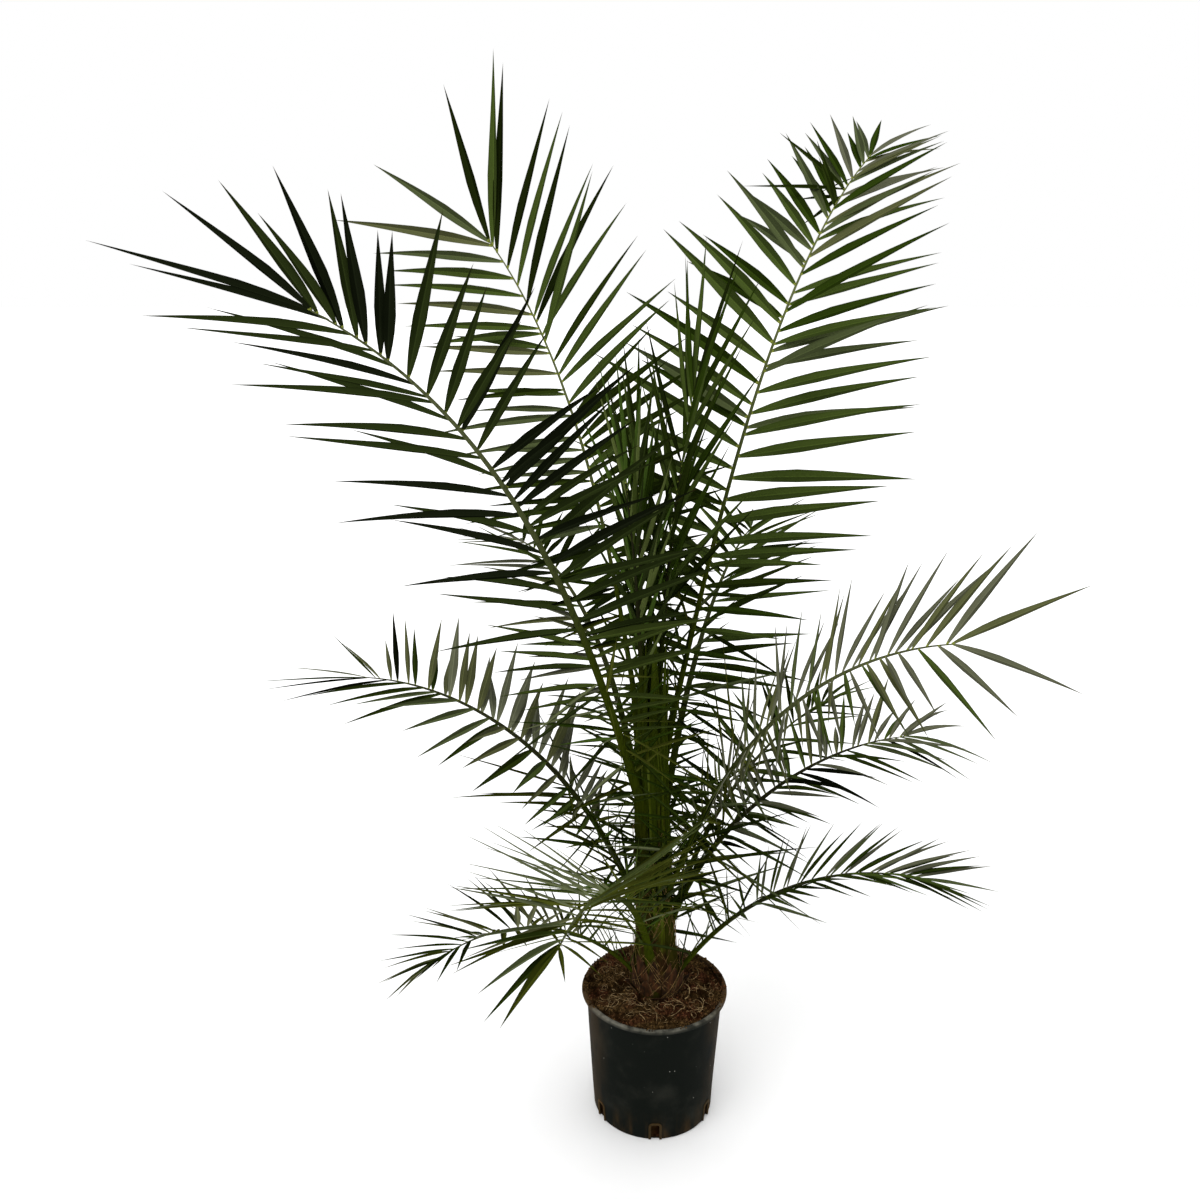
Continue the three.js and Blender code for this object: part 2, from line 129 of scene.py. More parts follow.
class Value(Wire):
    """A number in a node tree, on which Python's operators work."""

    __add__ = arithmetic("ADD")
    __radd__ = arithmetic("ADD", True)
    __sub__ = arithmetic("SUBTRACT")
    __rsub__ = arithmetic("SUBTRACT", True)
    __mul__ = arithmetic("MULTIPLY")
    __rmul__ = arithmetic("MULTIPLY", True)
    __truediv__ = arithmetic("DIVIDE")
    __pow__ = arithmetic("POWER")

    def apply(self, operation: str, *others: "Value | float") -> "Value":
        """Any other Math node operation on this and the others."""
        return self.graph.math(operation, self, *others)

    def between(self, low: float, high: float) -> "Value":
        """0 below low, 1 above high and a smooth step between them."""
        inputs = {"Value": self, "From Min": low, "From Max": high}
        return self.graph.value("ShaderNodeMapRange", inputs, interpolation_type="SMOOTHSTEP")


class Arrow(Wire):
    """A vector in a node tree, on which Python's operators work."""

    def __add__(self, other: "Arrow") -> "Arrow":
        """This plus the other vector."""
        return self.graph.vector("ADD", {0: self, 1: other})

    def __mul__(self, factor: Value | float) -> "Arrow":
        """This vector, made longer by the factor."""
        return self.graph.vector("SCALE", {0: self, "Scale": factor})

    def times(self, *factors: float) -> "Arrow":
        """This vector with each of its parts times a factor of its own."""
        return self.graph.vector("MULTIPLY", {0: self, 1: factors})

    def part(self, axis: int) -> Value:
        """One part of the vector: 0 for X, 1 for Y, 2 for Z."""
        return self.graph.value("ShaderNodeSeparateXYZ", {0: self}, axis)


@dataclass(frozen=True)
class Graph:
    """Adds nodes to one shader or geometry tree and joins them."""

    tree: bpy.types.NodeTree

    def node(self, kind: str, inputs: dict | None = None, **settings: object) -> bpy.types.Node:
        """Adds one node.

        Args:
            kind: The node's type.
            inputs: Values or links, by the socket's name or number.
            settings: Its own settings, set first. stops gives a ramp's places and colours.

        Returns:
            The node.
        """
        node = self.tree.nodes.new(kind)
        for name, setting in settings.items():
            if name == "stops":
                self.set_stops(node.color_ramp, setting)
            else:
                setattr(node, name, setting)
        for key, value in (inputs or {}).items():
            self.feed(node.inputs[key], value)
        return node

    @staticmethod
    def set_stops(ramp: bpy.types.ColorRamp, stops: Sequence[tuple[float, str]]) -> None:
        """Gives a ramp its places and hex colours, in order.

        Args:
            ramp: The ramp.
            stops: Each place with its colour.
        """
        while len(ramp.elements) < len(stops):
            ramp.elements.new(1.0)
        for element, (place, code) in zip(ramp.elements, stops):
            element.position = place
            element.color = linear(code)

    def feed(self, socket: bpy.types.NodeSocket, value: object) -> None:
        """Links a value or a node's first output to a socket, or sets the socket's own value.

        Args:
            socket: The input socket.
            value: A value, a node or what a socket gives.
        """
        if isinstance(value, bpy.types.Node):
            value = value.outputs[0]
        elif isinstance(value, Wire):
            value = value.socket
        if isinstance(value, bpy.types.NodeSocket):
            self.tree.links.new(value, socket)
        else:
            socket.default_value = value

    def value(self, kind: str, inputs: dict, output: int = 0, **settings: object) -> Value:
        """One output of a new node, as a number."""
        return Value(self, self.node(kind, inputs, **settings).outputs[output])

    def math(self, operation: str, *values: Value | float) -> Value:
        """One Math node on up to three values."""
        return self.value("ShaderNodeMath", dict(enumerate(values)), operation=operation)

    def vector(self, operation: str, inputs: dict) -> Arrow:
        """One Vector Math node."""
        return Arrow(self, self.node("ShaderNodeVectorMath", inputs, operation=operation).outputs[0])

    def mix(self, cover: Value | float, under: object, over: object) -> object:
        """One colour laid over another with a cover from 0 to 1. Either may be a hex code."""
        under, over = (linear(colour) if isinstance(colour, str) else colour for colour in (under, over))
        return self.node("ShaderNodeMix", {0: cover, 6: under, 7: over}, data_type="RGBA").outputs[2]

    def coats(self, colour: object, *coats: tuple[Value | float, object]) -> object:
        """A colour with others laid over it in turn, each given with its cover.

        Args:
            colour: The lowest colour.
            coats: Each cover with its colour, lowest first.

        Returns:
            The colour on top.
        """
        for cover, coat in coats:
            colour = self.mix(cover, colour, coat)
        return colour

    def noise(self, place: Arrow, scale: float, detail: float = 3.0, rough: float = 0.55) -> Value:
        """Soft noise from 0 to 1 at a place."""
        inputs = {"Vector": place, "Scale": scale, "Detail": detail, "Roughness": rough}
        return self.value("ShaderNodeTexNoise", inputs)

    def carried(self, name: str, kind: str) -> bpy.types.NodeSocket:
        """The socket of an attribute that the mesh carries.

        Args:
            name: The attribute's name.
            kind: Its type.

        Returns:
            The socket that gives it.
        """
        if self.tree.type == "SHADER":
            output = "Vector" if kind == "FLOAT_VECTOR" else "Fac"
            return self.node("ShaderNodeAttribute", attribute_name=name).outputs[output]
        return self.node("GeometryNodeInputNamedAttribute", {"Name": name}, data_type=kind).outputs[0]

    def number(self, name: str) -> Value:
        """A number that the mesh carries."""
        return Value(self, self.carried(name, "FLOAT"))

    def arrow(self, name: str) -> Arrow:
        """A vector that the mesh carries."""
        return Arrow(self, self.carried(name, "FLOAT_VECTOR"))


# Finishes

@dataclass(frozen=True)
class Finish:
    """A surface finish. Each kind says in dress how its colour, gloss and relief vary."""

    name: str

    def dress(self, graph: Graph, place: Arrow) -> dict:
        """The shader's inputs.

        Args:
            graph: The material's tree.
            place: The point on the object.

        Returns:
            Each input's value or link, by name.
        """
        raise NotImplementedError

    def inputs(self, colour: object, rough: Value | float, gloss: float, relief: Value | None = None,
               depth: float = 0.0, strength: float = 0.5) -> dict:
        """The shader's inputs, by name.

        Args:
            colour: The base colour.
            rough: The roughness.
            gloss: The specular level.
            relief: The height of the relief, if there is any.
            depth: How deep the relief is in metres.
            strength: How much of the relief shows.

        Returns:
            The inputs.
        """
        inputs = {"Base Color": colour, "Roughness": rough, "Specular IOR Level": gloss}
        if relief is not None:
            bump = {"Height": relief, "Distance": depth, "Strength": strength}
            inputs["Normal"] = relief.graph.node("ShaderNodeBump", bump)
        return inputs

    def material(self) -> bpy.types.Material:
        """The finish as a material, made once and then used again.

        Returns:
            The material.
        """
        known = bpy.data.materials.get(self.name)
        if known:
            return known
        made = bpy.data.materials.new(self.name)
        made.use_nodes = True
        made.node_tree.nodes.clear()
        graph = Graph(made.node_tree)
        place = Arrow(graph, graph.node("ShaderNodeTexCoord").outputs["Object"])
        shader = graph.node("ShaderNodeBsdfPrincipled", self.dress(graph, place))
        graph.node("ShaderNodeOutputMaterial", {"Surface": shader})
        return made


@dataclass(frozen=True)
class MouldedPlastic(Finish):
    """Matt black plastic: dusty on the lip with a painted highlight along its top edge, stained with soil
    low down, with a few pale specks.
    """

    black: str = "0f120f"
    # A grey for dust, also used for the painted highlight on the lip's top edge.
    dust_and_highlight_grey: str = "8a877a"
    stain: str = "43331e"
    earth: str = "3f3020"
    speck: str = "8d8d85"
    lip_height: float = 0.259
    stain_height: float = 0.075
    clean_front: float = -0.08

    def dress(self, graph: Graph, place: Arrow) -> dict:
        """Dust by height on the lip and a painted highlight on its top edge, stains by height near the foot.
        """
        height = place.part(2)
        cloud = graph.noise(place, 14.0, 4.0)
        streak = graph.noise(place.times(1, 1, 0.25), 38.0, 4.0)
        grain = graph.noise(place, 900.0, 2.0)
        scuff = graph.noise(place, 60.0, 4.0).between(0.35, 0.65)
        lip = height.between(self.lip_height - 0.002, self.lip_height + 0.004)
        # The lip's rounded top edge: a painted highlight, with some dust.
        rim_highlight = height.between(self.lip_height + 0.0035, self.lip_height + 0.0062)
        # Dust on the lip, plus the painted highlight along its top edge.
        dust_and_highlight = lip * (0.04 + 0.2 * cloud.between(0.38, 0.62) + 0.08 * scuff) + rim_highlight * (0.05 + 0.3 * scuff)
        low = (1 - height.between(0.0, self.stain_height)) * streak.between(0.42, 0.72)
        flank = place.part(0).apply("ABSOLUTE").between(0.085, 0.125) * streak.between(0.3, 0.6)
        front = place.part(1) + (cloud - 0.5) * 0.06
        earthy = lip * front.between(self.clean_front, self.clean_front + 0.03)
        spot = graph.value("ShaderNodeTexVoronoi", {"Vector": place, "Scale": 75.0})
        specks = (1 - spot.between(0.05, 0.1)) * graph.noise(place, 30.0, 1.0).between(0.56, 0.62)
        colour = graph.coats(
            self.black, (cloud.between(0.45, 0.8) * 0.05, self.dust_and_highlight_grey), (dust_and_highlight * 0.9, self.dust_and_highlight_grey),
            (earthy, self.earth), (low * 0.6, self.stain), (flank * 0.35, self.stain),
            (specks * 0.8, self.speck),
        )
        relief = grain + cloud * 2.0
        return self.inputs(colour, 0.5 + 0.2 * cloud + 0.2 * dust_and_highlight, 0.015, relief, 0.0004, 0.35)


@dataclass(frozen=True)
class Compost(Finish):
    """Moist peat and coir."""

    dark: str = "140b03"
    light: str = "40301a"
    red: str = "46271a"
    crumb: float = 160.0

    def dress(self, graph: Graph, place: Arrow) -> dict:
        """Clods of two browns with fine crumbs in them, darkened in patches as painted shade in hollows."""
        clod = graph.noise(place, self.crumb, 5.0, 0.65)
        patch = graph.noise(place, 30.0, 2.0)
        # Painted shade: darker patches where hollows in the soil would lie.
        hollow_shade = graph.noise(place, 40.0, 3.0).between(0.48, 0.62)
        redder = graph.noise(place, 19.0, 2.0).between(0.42, 0.62)
        shade = clod.between(0.34, 0.68) * (0.6 + 0.75 * patch) * (1 - 0.85 * hollow_shade)
        colour = graph.mix(shade, self.dark, graph.mix(redder, self.light, self.red))
        return self.inputs(colour, 0.95, 0.0, clod, 0.0015, 0.8)


@dataclass(frozen=True)
class Strand(Finish):
    """Root threads and fibres: one colour that drifts from strand to strand."""

    dark: str
    light: str
    drift: float

    def dress(self, graph: Graph, place: Arrow) -> dict:
        """A slow drift between the two colours."""
        shade = graph.noise(place, self.drift, 2.0).between(0.35, 0.65)
        return self.inputs(graph.mix(shade, self.dark, self.light), 0.85, 0.02)


@dataclass(frozen=True)
class StemSkin(Finish):
    """The stem between its leaf bases: green above with painted highlight streaks, brown and fibrous below,
    and painted shade in the grooves between its ridges.
    """

    green: str = "3e480b"
    # A lighter green for painted highlight streaks.
    highlight_green: str = "5e6a2c"
    # Near black for the painted shade in the grooves between the ridges.
    crevice_shade: str = "0a0e02"
    brown: str = "241809"
    red: str = "3a2312"
    green_from: float = 0.3
    green_to: float = 0.46

    def dress(self, graph: Graph, place: Arrow) -> dict:
        """Brown gives way to green with height, in streaks along the stem, with painted highlights on the
        green and painted shade in the grooves.
        """
        streak = graph.noise(place.times(1, 1, 0.08), 150.0, 4.0, 0.6)
        patch = graph.noise(place.times(1, 1, 0.5), 36.0, 3.0)
        height = place.part(2) + (patch - 0.5) * 0.45
        green = height.between(self.green_from, self.green_to) * streak.between(0.25, 0.5)
        bark = graph.mix(streak.between(0.35, 0.7), self.brown, self.red)
        # Painted highlights: lighter streaks on the green.
        fresh = graph.mix(streak.between(0.5, 0.7) * 0.7, self.green, self.highlight_green)
        # Painted shade: near black in the grooves between the ridges.
        crevice_shade = 1 - graph.number("ridge").between(0.25, 0.7)
        colour = graph.coats(bark, (green, fresh), (crevice_shade * 0.9, self.crevice_shade))
        return self.inputs(colour, 0.85, 0.01, streak, 0.0016, 0.9)


@dataclass(frozen=True)
class RibSkin(Finish):
    """The rib of a frond: brownish and broad at its foot, olive green, then paler to the tip."""

    foot: str = "2a210c"
    low: str = "2a3204"
    middle: str = "2f3808"
    tip: str = "5f6642"
    dull: str = "15120a"
    # Near black for the painted shade in the grooves along the rib.
    groove_shade: str = "0e1203"

    def dress(self, graph: Graph, place: Arrow) -> dict:
        """Colour by how far along the rib a place is, with fine streaks darkened as painted shade in the
        grooves.
        """
        along = graph.number("along")
        streak = graph.noise(place.times(1, 1, 0.15), 220.0, 3.0)
        where = along * 0.5 + 0.5 * along * (0.6 + 0.8 * streak)
        stops = [(0.0, self.foot), (0.12, self.low), (0.45, self.middle), (0.85, self.tip)]
        ramp = graph.node("ShaderNodeValToRGB", {0: where}, stops=stops)
        dull = (1 - graph.number("pale")) * along.between(0.3, 0.6)
        colour = graph.coats(
            ramp.outputs[0], (dull * 0.9, self.dull), (streak.between(0.45, 0.7) * 0.5, self.groove_shade),
        )
        return self.inputs(colour, 0.5, 0.0, streak, 0.0004, 0.4)


@dataclass(frozen=True)
class Bract(Finish):
    """Old leaf bases at the foot: red-brown fibre with a pale, papery edge."""

    brown: str = "24170b"
    red: str = "452a17"
    edge: str = "6a5338"
    shade: str = "150e07"

    def dress(self, graph: Graph, place: Arrow) -> dict:
        """Fibre streaks, and the pale edge by the place across the base."""
        streak = graph.noise(place.times(1, 1, 0.2), 260.0, 4.0, 0.6)
        across = graph.number("across").apply("ABSOLUTE")
        patch = graph.noise(place, 46.0, 2.0).between(0.4, 0.62)
        edge = across.between(0.8, 0.98) * 0.7 * (1 - patch)
        body = graph.mix(streak.between(0.35, 0.65), self.brown, self.red)
        colour = graph.coats(body, (patch * 0.7, self.shade), (edge, self.edge))
        return self.inputs(colour, 0.9, 0.05, streak, 0.0012, 0.8)


@dataclass(frozen=True)
class LeafSkin(Finish):
    """One face of a leaflet: a plain green with one half painted lighter and the other darker as light and
    shade, a pale line painted as a highlight along the fold, faint veins and a dry tip.
    """

    green: str
    rough: float
    gloss: float
    veins: float = 46.0
    # How far the painted light and painted shade of the two halves depart from the green.
    half_depth: float = 0.3
    # How strong the painted highlight along the fold is.
    pale: float = 0.35
    dry: str = "2c2110"
    dry_from: float = 0.93

    def shade(self, factor: float) -> list[float]:
        """The finish's green, darker or lighter."""
        return [value * factor for value in linear(self.green)[:3]] + [1.0]

    def dress(self, graph: Graph, place: Arrow) -> dict:
        """A plain base colour with a little drift in it, painted light and shade on the two halves, a
        painted highlight along the fold, and veins in the relief.
        """
        blade = graph.arrow("blade")
        across = blade.part(0)
        along = blade.part(1)
        away = across.apply("ABSOLUTE")
        drift = graph.noise(place, 22.0, 2.0)
        # Painted light and shade: one half of the fold lighter, the other half darker.
        lit_and_shaded_halves = graph.mix(
            across.between(-0.06, 0.06), self.shade(1 + self.half_depth),
            self.shade(1 - self.half_depth * 1.4),
        )
        # Painted highlight: a pale line along the fold, fading out towards the tip.
        fold = (1 - away.between(0.03, 0.14)) * (1 - along.between(0.7, 0.88))
        colour = graph.coats(
            self.green, (drift.between(0.35, 0.7) * 0.5, self.shade(0.75)), (0.75, lit_and_shaded_halves),
            (away.between(0.45, 1.0) * 0.55, self.shade(0.5)),
            ((1 - along.between(0.04, 0.3)) * 0.45, self.shade(1.5)),
            (along.between(0.5, 0.9) * 0.5, self.shade(0.55)), (fold * self.pale, self.shade(2.6)),
            (along.between(self.dry_from, 0.985) * 0.75, self.dry),
        )
        vein = (across * self.veins).apply("SINE")
        return self.inputs(colour, self.rough + 0.12 * drift, self.gloss, vein, 0.00012, 0.35)


class Tone(IntEnum):
    """The greens that leaflets come in. The two darkest are painted shade, near-black greens put where
    leaflets lie in shade; the grey one is a grey-green that also carries a painted sheen.
    """

    DEEP = 0
    DUSK = 1
    DARK = 2
    FRESH = 3
    MOSS = 4
    OLIVE = 5
    # A grey-green whose leaflets also stand in for a painted sheen.
    GREY = 6
    PALE = 7
    WARM = 8
    LUSH = 9


# Each green's upper face, underside and specular level. The two darkest are painted shade, and the grey one
# is partly a painted sheen.
LEAF_GREENS: dict[Tone, tuple[str, str, float]] = {
    Tone.DEEP: ("080b03", "11150a", 0.0),
    Tone.DUSK: ("151c06", "20280f", 0.0),
    Tone.DARK: ("212b0a", "303a16", 0.0),
    Tone.FRESH: ("364319", "495329", 0.01),
    Tone.MOSS: ("3f472a", "52583b", 0.01),
    Tone.OLIVE: ("484b2d", "5e6141", 0.02),
    Tone.GREY: ("4d4f3c", "646551", 0.03),
    Tone.PALE: ("595c47", "727460", 0.03),
    Tone.WARM: ("2e330b", "3e4315", 0.0),
    Tone.LUSH: ("24320a", "344618", 0.0),
}


class Zone(IntEnum):
    """The faces of a leaflet."""

    UPPER = 0
    UNDER = 1
    CUSHION = 2


def leaf_finishes() -> list[Finish]:
    """The finishes of a leaflet's faces: each green's upper face and underside, and the cushion last.

    Returns:
        Two finishes for each tone, in the order of the tones, and the cushion's.
    """
    finishes: list[Finish] = []
    for tone, (upper, under, gloss) in LEAF_GREENS.items():
        finishes.append(LeafSkin(f"leaflet_{tone.name.lower()}_upper", upper, 0.4, gloss))
        finishes.append(LeafSkin(f"leaflet_{tone.name.lower()}_under", under, 0.58, gloss))
    return [*finishes, LeafSkin("leaflet_cushion", "636a2c", 0.5, 0.0, 0.0)]


def greens(names: str) -> tuple[Tone, ...]:
    """A mix of greens, by their names."""
    return tuple(Tone[name] for name in names.split())


# Meshes and Geometry Nodes

@dataclass
class Knot:
    """A point on a path, with the section that a tube has there."""

    place: Vector
    side: Vector
    up: Vector
    half_width: float
    half_depth: float
    along: float = 0.0
    hug: float = 0.0
    pale: float = 0.0


@dataclass
class Seat:
    """Where one leaflet or spine sits, which way it points and how large it is."""

    place: Vector
    aim: Vector
    face: Vector
    reach: float
    breadth: float
    bow: float = 0.0
    sag: float = 0.0
    tone: int = 0


def link(name: str, data: bpy.types.ID) -> bpy.types.Object:
    """Puts a mesh, a light or a camera in the scene as an object of that name, at the origin.

    Args:
        name: The object's name.
        data: What it shows.

    Returns:
        The new object.
    """
    made = bpy.data.objects.new(name, data)
    bpy.context.scene.collection.objects.link(made)
    return made


def make_mesh(name: str, points: Sequence, edges: Sequence = (), faces: Sequence = ()) -> bpy.types.Mesh:
    """A new mesh of those points, edges and faces.

    Args:
        name: The mesh's name.
        points: The places of its points.
        edges: Pairs of point numbers.
        faces: Rings of point numbers.

    Returns:
        The mesh.
    """
    mesh = bpy.data.meshes.new(name)
    mesh.from_pydata(points, edges, faces)
    return mesh


def carry(mesh: bpy.types.Mesh, name: str, values: Iterable, kind: str = "FLOAT",
          domain: str = "POINT") -> None:
    """Gives a mesh a named attribute, with one value for each point, edge or face.

    Args:
        mesh: The mesh.
        name: The attribute's name.
        values: The values, in order.
        kind: The attribute's type.
        domain: What has a value each.
    """
    attribute = mesh.attributes.new(name, kind, domain)
    if kind == "FLOAT_VECTOR":
        attribute.data.foreach_set("vector", [part for value in values for part in value])
    else:
        attribute.data.foreach_set("value", list(values))


def carry_items(mesh: bpy.types.Mesh, items: Sequence[Knot | Seat], vectors: str, numbers: str) -> None:
    """Gives a mesh's points the values of its items, by the names of those values.

    Args:
        mesh: The mesh.
        items: One knot or seat for each point.
        vectors: The names of its vectors, with spaces between them.
        numbers: The names of its numbers, likewise.
    """
    for names, kind in ((vectors, "FLOAT_VECTOR"), (numbers, "FLOAT")):
        for name in names.split():
            carry(mesh, name, [getattr(item, name) for item in items], kind)


def strip(mesh: bpy.types.Mesh, names: str) -> None:
    """Takes attributes that are no longer needed off a mesh."""
    for name in names.split():
        mesh.attributes.remove(mesh.attributes[name])


def outward(mesh: bpy.types.Mesh) -> None:
    """Turns the faces of closed pieces outwards.

    Args:
        mesh: The mesh, which is changed.
    """
    work = bmesh.new()
    work.from_mesh(mesh)
    bmesh.ops.recalc_face_normals(work, faces=work.faces)
    work.to_mesh(mesh)
    work.free()


def evaluated(piece: bpy.types.Object) -> bpy.types.Mesh:
    """The mesh that a piece's modifiers give. The modifiers come off.

    Args:
        piece: The object.

    Returns:
        The finished mesh.
    """
    graph = bpy.context.evaluated_depsgraph_get()
    mesh = bpy.data.meshes.new_from_object(piece.evaluated_get(graph))
    piece.modifiers.clear()
    return mesh


def settle(piece: bpy.types.Object, slot: str, *nodes: str) -> bpy.types.Object:
    """Rides a piece on the plant's body and hides the imported nodes that it stands for.

    Args:
        piece: The finished piece.
        slot: Not used.
        nodes: The nodes that it stands for, if any.

    Returns:
        The same piece.
    """
    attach(piece, BODY)
    if nodes:
        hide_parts(*nodes)
    return piece


class GeometryTool:
    """A Geometry Nodes tree with named inputs, which turns a carrier mesh into a finished one."""

    def __init__(self, name: str, **sockets: str) -> None:
        """Starts the tree.

        Args:
            name: The tree's name.
            sockets: The type of each named input, apart from the geometry.
        """
        self.tree = bpy.data.node_groups.new(name, "GeometryNodeTree")
        face = self.tree.interface
        for title, kind in {"Geometry": "Geometry", **sockets}.items():
            face.new_socket(title, in_out="INPUT", socket_type=f"NodeSocket{kind}")
        face.new_socket("Geometry", in_out="OUTPUT", socket_type="NodeSocketGeometry")
        self.graph = Graph(self.tree)
        self.start = self.graph.node("NodeGroupInput")

    def given(self, title: str) -> bpy.types.NodeSocket:
        """The socket that brings in a named input."""
        return self.start.outputs[title]

    def real(self, geometry: object) -> bpy.types.Node:
        """The geometry with its instances made real."""
        return self.graph.node("GeometryNodeRealizeInstances", {0: geometry})

    def end(self, geometry: object) -> None:
        """Closes the tree with the geometry that it gives."""
        self.graph.node("NodeGroupOutput", {"Geometry": geometry})

    def end_dressed(self, geometry: object) -> None:
        """Closes the tree with the geometry made real and given the finish that comes in."""
        inputs = {"Geometry": self.real(geometry), "Material": self.given("Finish")}
        self.end(self.graph.node("GeometryNodeSetMaterial", inputs))

    def run(self, carrier: bpy.types.Object, **values: object) -> bpy.types.Object:
        """Runs the tree on an object and keeps the result as the object's plain mesh.

        Args:
            carrier: The object whose mesh goes in and comes out changed.
            values: A value for each named input.

        Returns:
            The same object.
        """
        modifier = carrier.modifiers.new(self.tree.name, "NODES")
        modifier.node_group = self.tree
        for item in self.tree.interface.items_tree:
            if item.in_out == "INPUT" and item.name in values:
                modifier[item.identifier] = values[item.name]
        carrier.update_tag()
        old = carrier.data
        carrier.data = evaluated(carrier)
        bpy.data.meshes.remove(old)
        carrier.data.name = carrier.name
        return carrier


class TubeTool(GeometryTool):
    """Follows paths with a tube whose section changes from knot to knot."""

    def __init__(self) -> None:
        """Builds the tree: a ring at every knot, placed by the knot's own sides."""
        super().__init__("tubes_on_paths", Sides="Int", FlatTop="Float", Finish="Material")
        graph = self.graph
        index = Value(graph, graph.node("GeometryNodeInputIndex").outputs[0])
        sides = self.given("Sides")
        ring = graph.node("GeometryNodeCurvePrimitiveCircle", {"Resolution": sides}, mode="RADIUS")
        ring = self.store(ring, "turn", index / Value(graph, sides) * math.tau)
        path = graph.node("GeometryNodeMeshToCurve", {"Mesh": self.given("Geometry")})
        tube = graph.node("GeometryNodeCurveToMesh", {
            "Curve": path, "Profile Curve": ring, "Fill Caps": True,
        })
        across = graph.number("turn").apply("COSINE")
        height = graph.number("turn").apply("SINE")
        flat = Value(graph, self.given("FlatTop"))
        raised = height.apply("MAXIMUM", 0.0) * (1 - flat) + height.apply("MINIMUM", 0.0)
        width = graph.number("half_width") * across
        rise = graph.number("half_depth") * raised + graph.number("hug") * width * width
        spot = graph.arrow("place") + graph.arrow("side") * width + graph.arrow("up") * rise
        placed = graph.node("GeometryNodeSetPosition", {"Geometry": tube, "Position": spot})
        self.end_dressed(self.store(placed, "across", across))

    def store(self, geometry: object, name: str, value: Value) -> bpy.types.Node:
        """The geometry with a number stored at each of its points."""
        inputs = {"Geometry": geometry, "Name": name, "Value": value}
        return self.graph.node("GeometryNodeStoreNamedAttribute", inputs, data_type="FLOAT", domain="POINT")

    def tubes(self, name: str, paths: Sequence[Sequence[Knot]], finish: Finish, sides: int = 8,
              flat_top: float = 0.0) -> bpy.types.Object:
        """Makes one piece out of many tubes.

        Args:
            name: The piece's name.
            paths: The knots of each tube, in order.
            finish: What the tubes are made of.
            sides: How many sides each tube has.
            flat_top: How far the upper half is pressed flat, from 0 to 1.

        Returns:
            The finished piece.
        """
        knots = [knot for path in paths for knot in path]
        edges: list[tuple[int, int]] = []
        first = 0
        for path in paths:
            edges += [(first + i, first + i + 1) for i in range(len(path) - 1)]
            first += len(path)
        mesh = make_mesh(name, [knot.place for knot in knots], edges)
        carry_items(mesh, knots, "place side up", "half_width half_depth along hug pale")
        made = self.run(link(name, mesh), Sides=sides, FlatTop=flat_top, Finish=finish.material())
        strip(made.data, "place side up half_width half_depth hug turn")
        outward(made.data)
        made.data.shade_smooth()
        return made


@dataclass(frozen=True)
class Blade:
    """The outline of a leaflet of length 1 and half width 1, folded along its middle and closed."""

    name: str
    rings: tuple[float, ...] = (0, 0.02, 0.06, 0.13, 0.23, 0.36, 0.5, 0.64, 0.77, 0.89)
    widest: float = 0.36
    root_width: float = 0.2
    fold: float = 0.5
    thick: float = 0.055
    cushion_rings: int = 1

    def half_width(self, along: float) -> float:
        """Half the width at a share of the length.

        Args:
            along: The share of the length.

        Returns:
            The half width, at most 1.
        """
        if along < self.widest:
            return lerp(self.root_width, 1, math.sin(along / self.widest * math.pi / 2) ** 0.8)
        return (1 - ((along - self.widest) / (1 - self.widest)) ** 1.2) ** 1.05

    def carrier(self) -> bpy.types.Object:
        """The leaflet as a hidden object: four edges along it, and a point at its tip.

        Returns:
            The object, which the leaflets are copied from.
        """
        points: list[Triple] = []
        for along in self.rings:
            wide = self.half_width(along)
            high = self.fold * (1.25 - 0.5 * along) * wide
            points += [(-wide, along, high), (0, along, self.thick)]
            points += [(wide, along, high), (0, along, -self.thick)]
        tip = len(points)
        points.append((0, 1, 0))
        faces: list[tuple[int, ...]] = [(0, 3, 2, 1)]
        zones = [int(Zone.CUSHION)]
        for ring in range(len(self.rings)):
            for edge in range(4):
                low = 4 * ring + edge
                near = 4 * ring + (edge + 1) % 4
                last = ring == len(self.rings) - 1
                faces.append((low, near, tip) if last else (low, near, near + 4, low + 4))
                zone = Zone.UPPER if edge < 2 else Zone.UNDER
                zones.append(int(Zone.CUSHION if ring < self.cushion_rings else zone))
        mesh = make_mesh(self.name, points, (), faces)
        carry(mesh, "zone", zones, "INT", "FACE")
        carry(mesh, "blade", [(x, y, 0.0) for x, y, _ in points], "FLOAT_VECTOR")
        mesh.shade_smooth()
        ends = [tuple(edge.vertices) for edge in mesh.edges]
        sharp = [abs(first - second) == 4 or tip in (first, second) for first, second in ends]
        carry(mesh, "sharp_edge", sharp, "BOOLEAN", "EDGE")
        made = link(self.name, mesh)
        made.hide_render = True
        return made


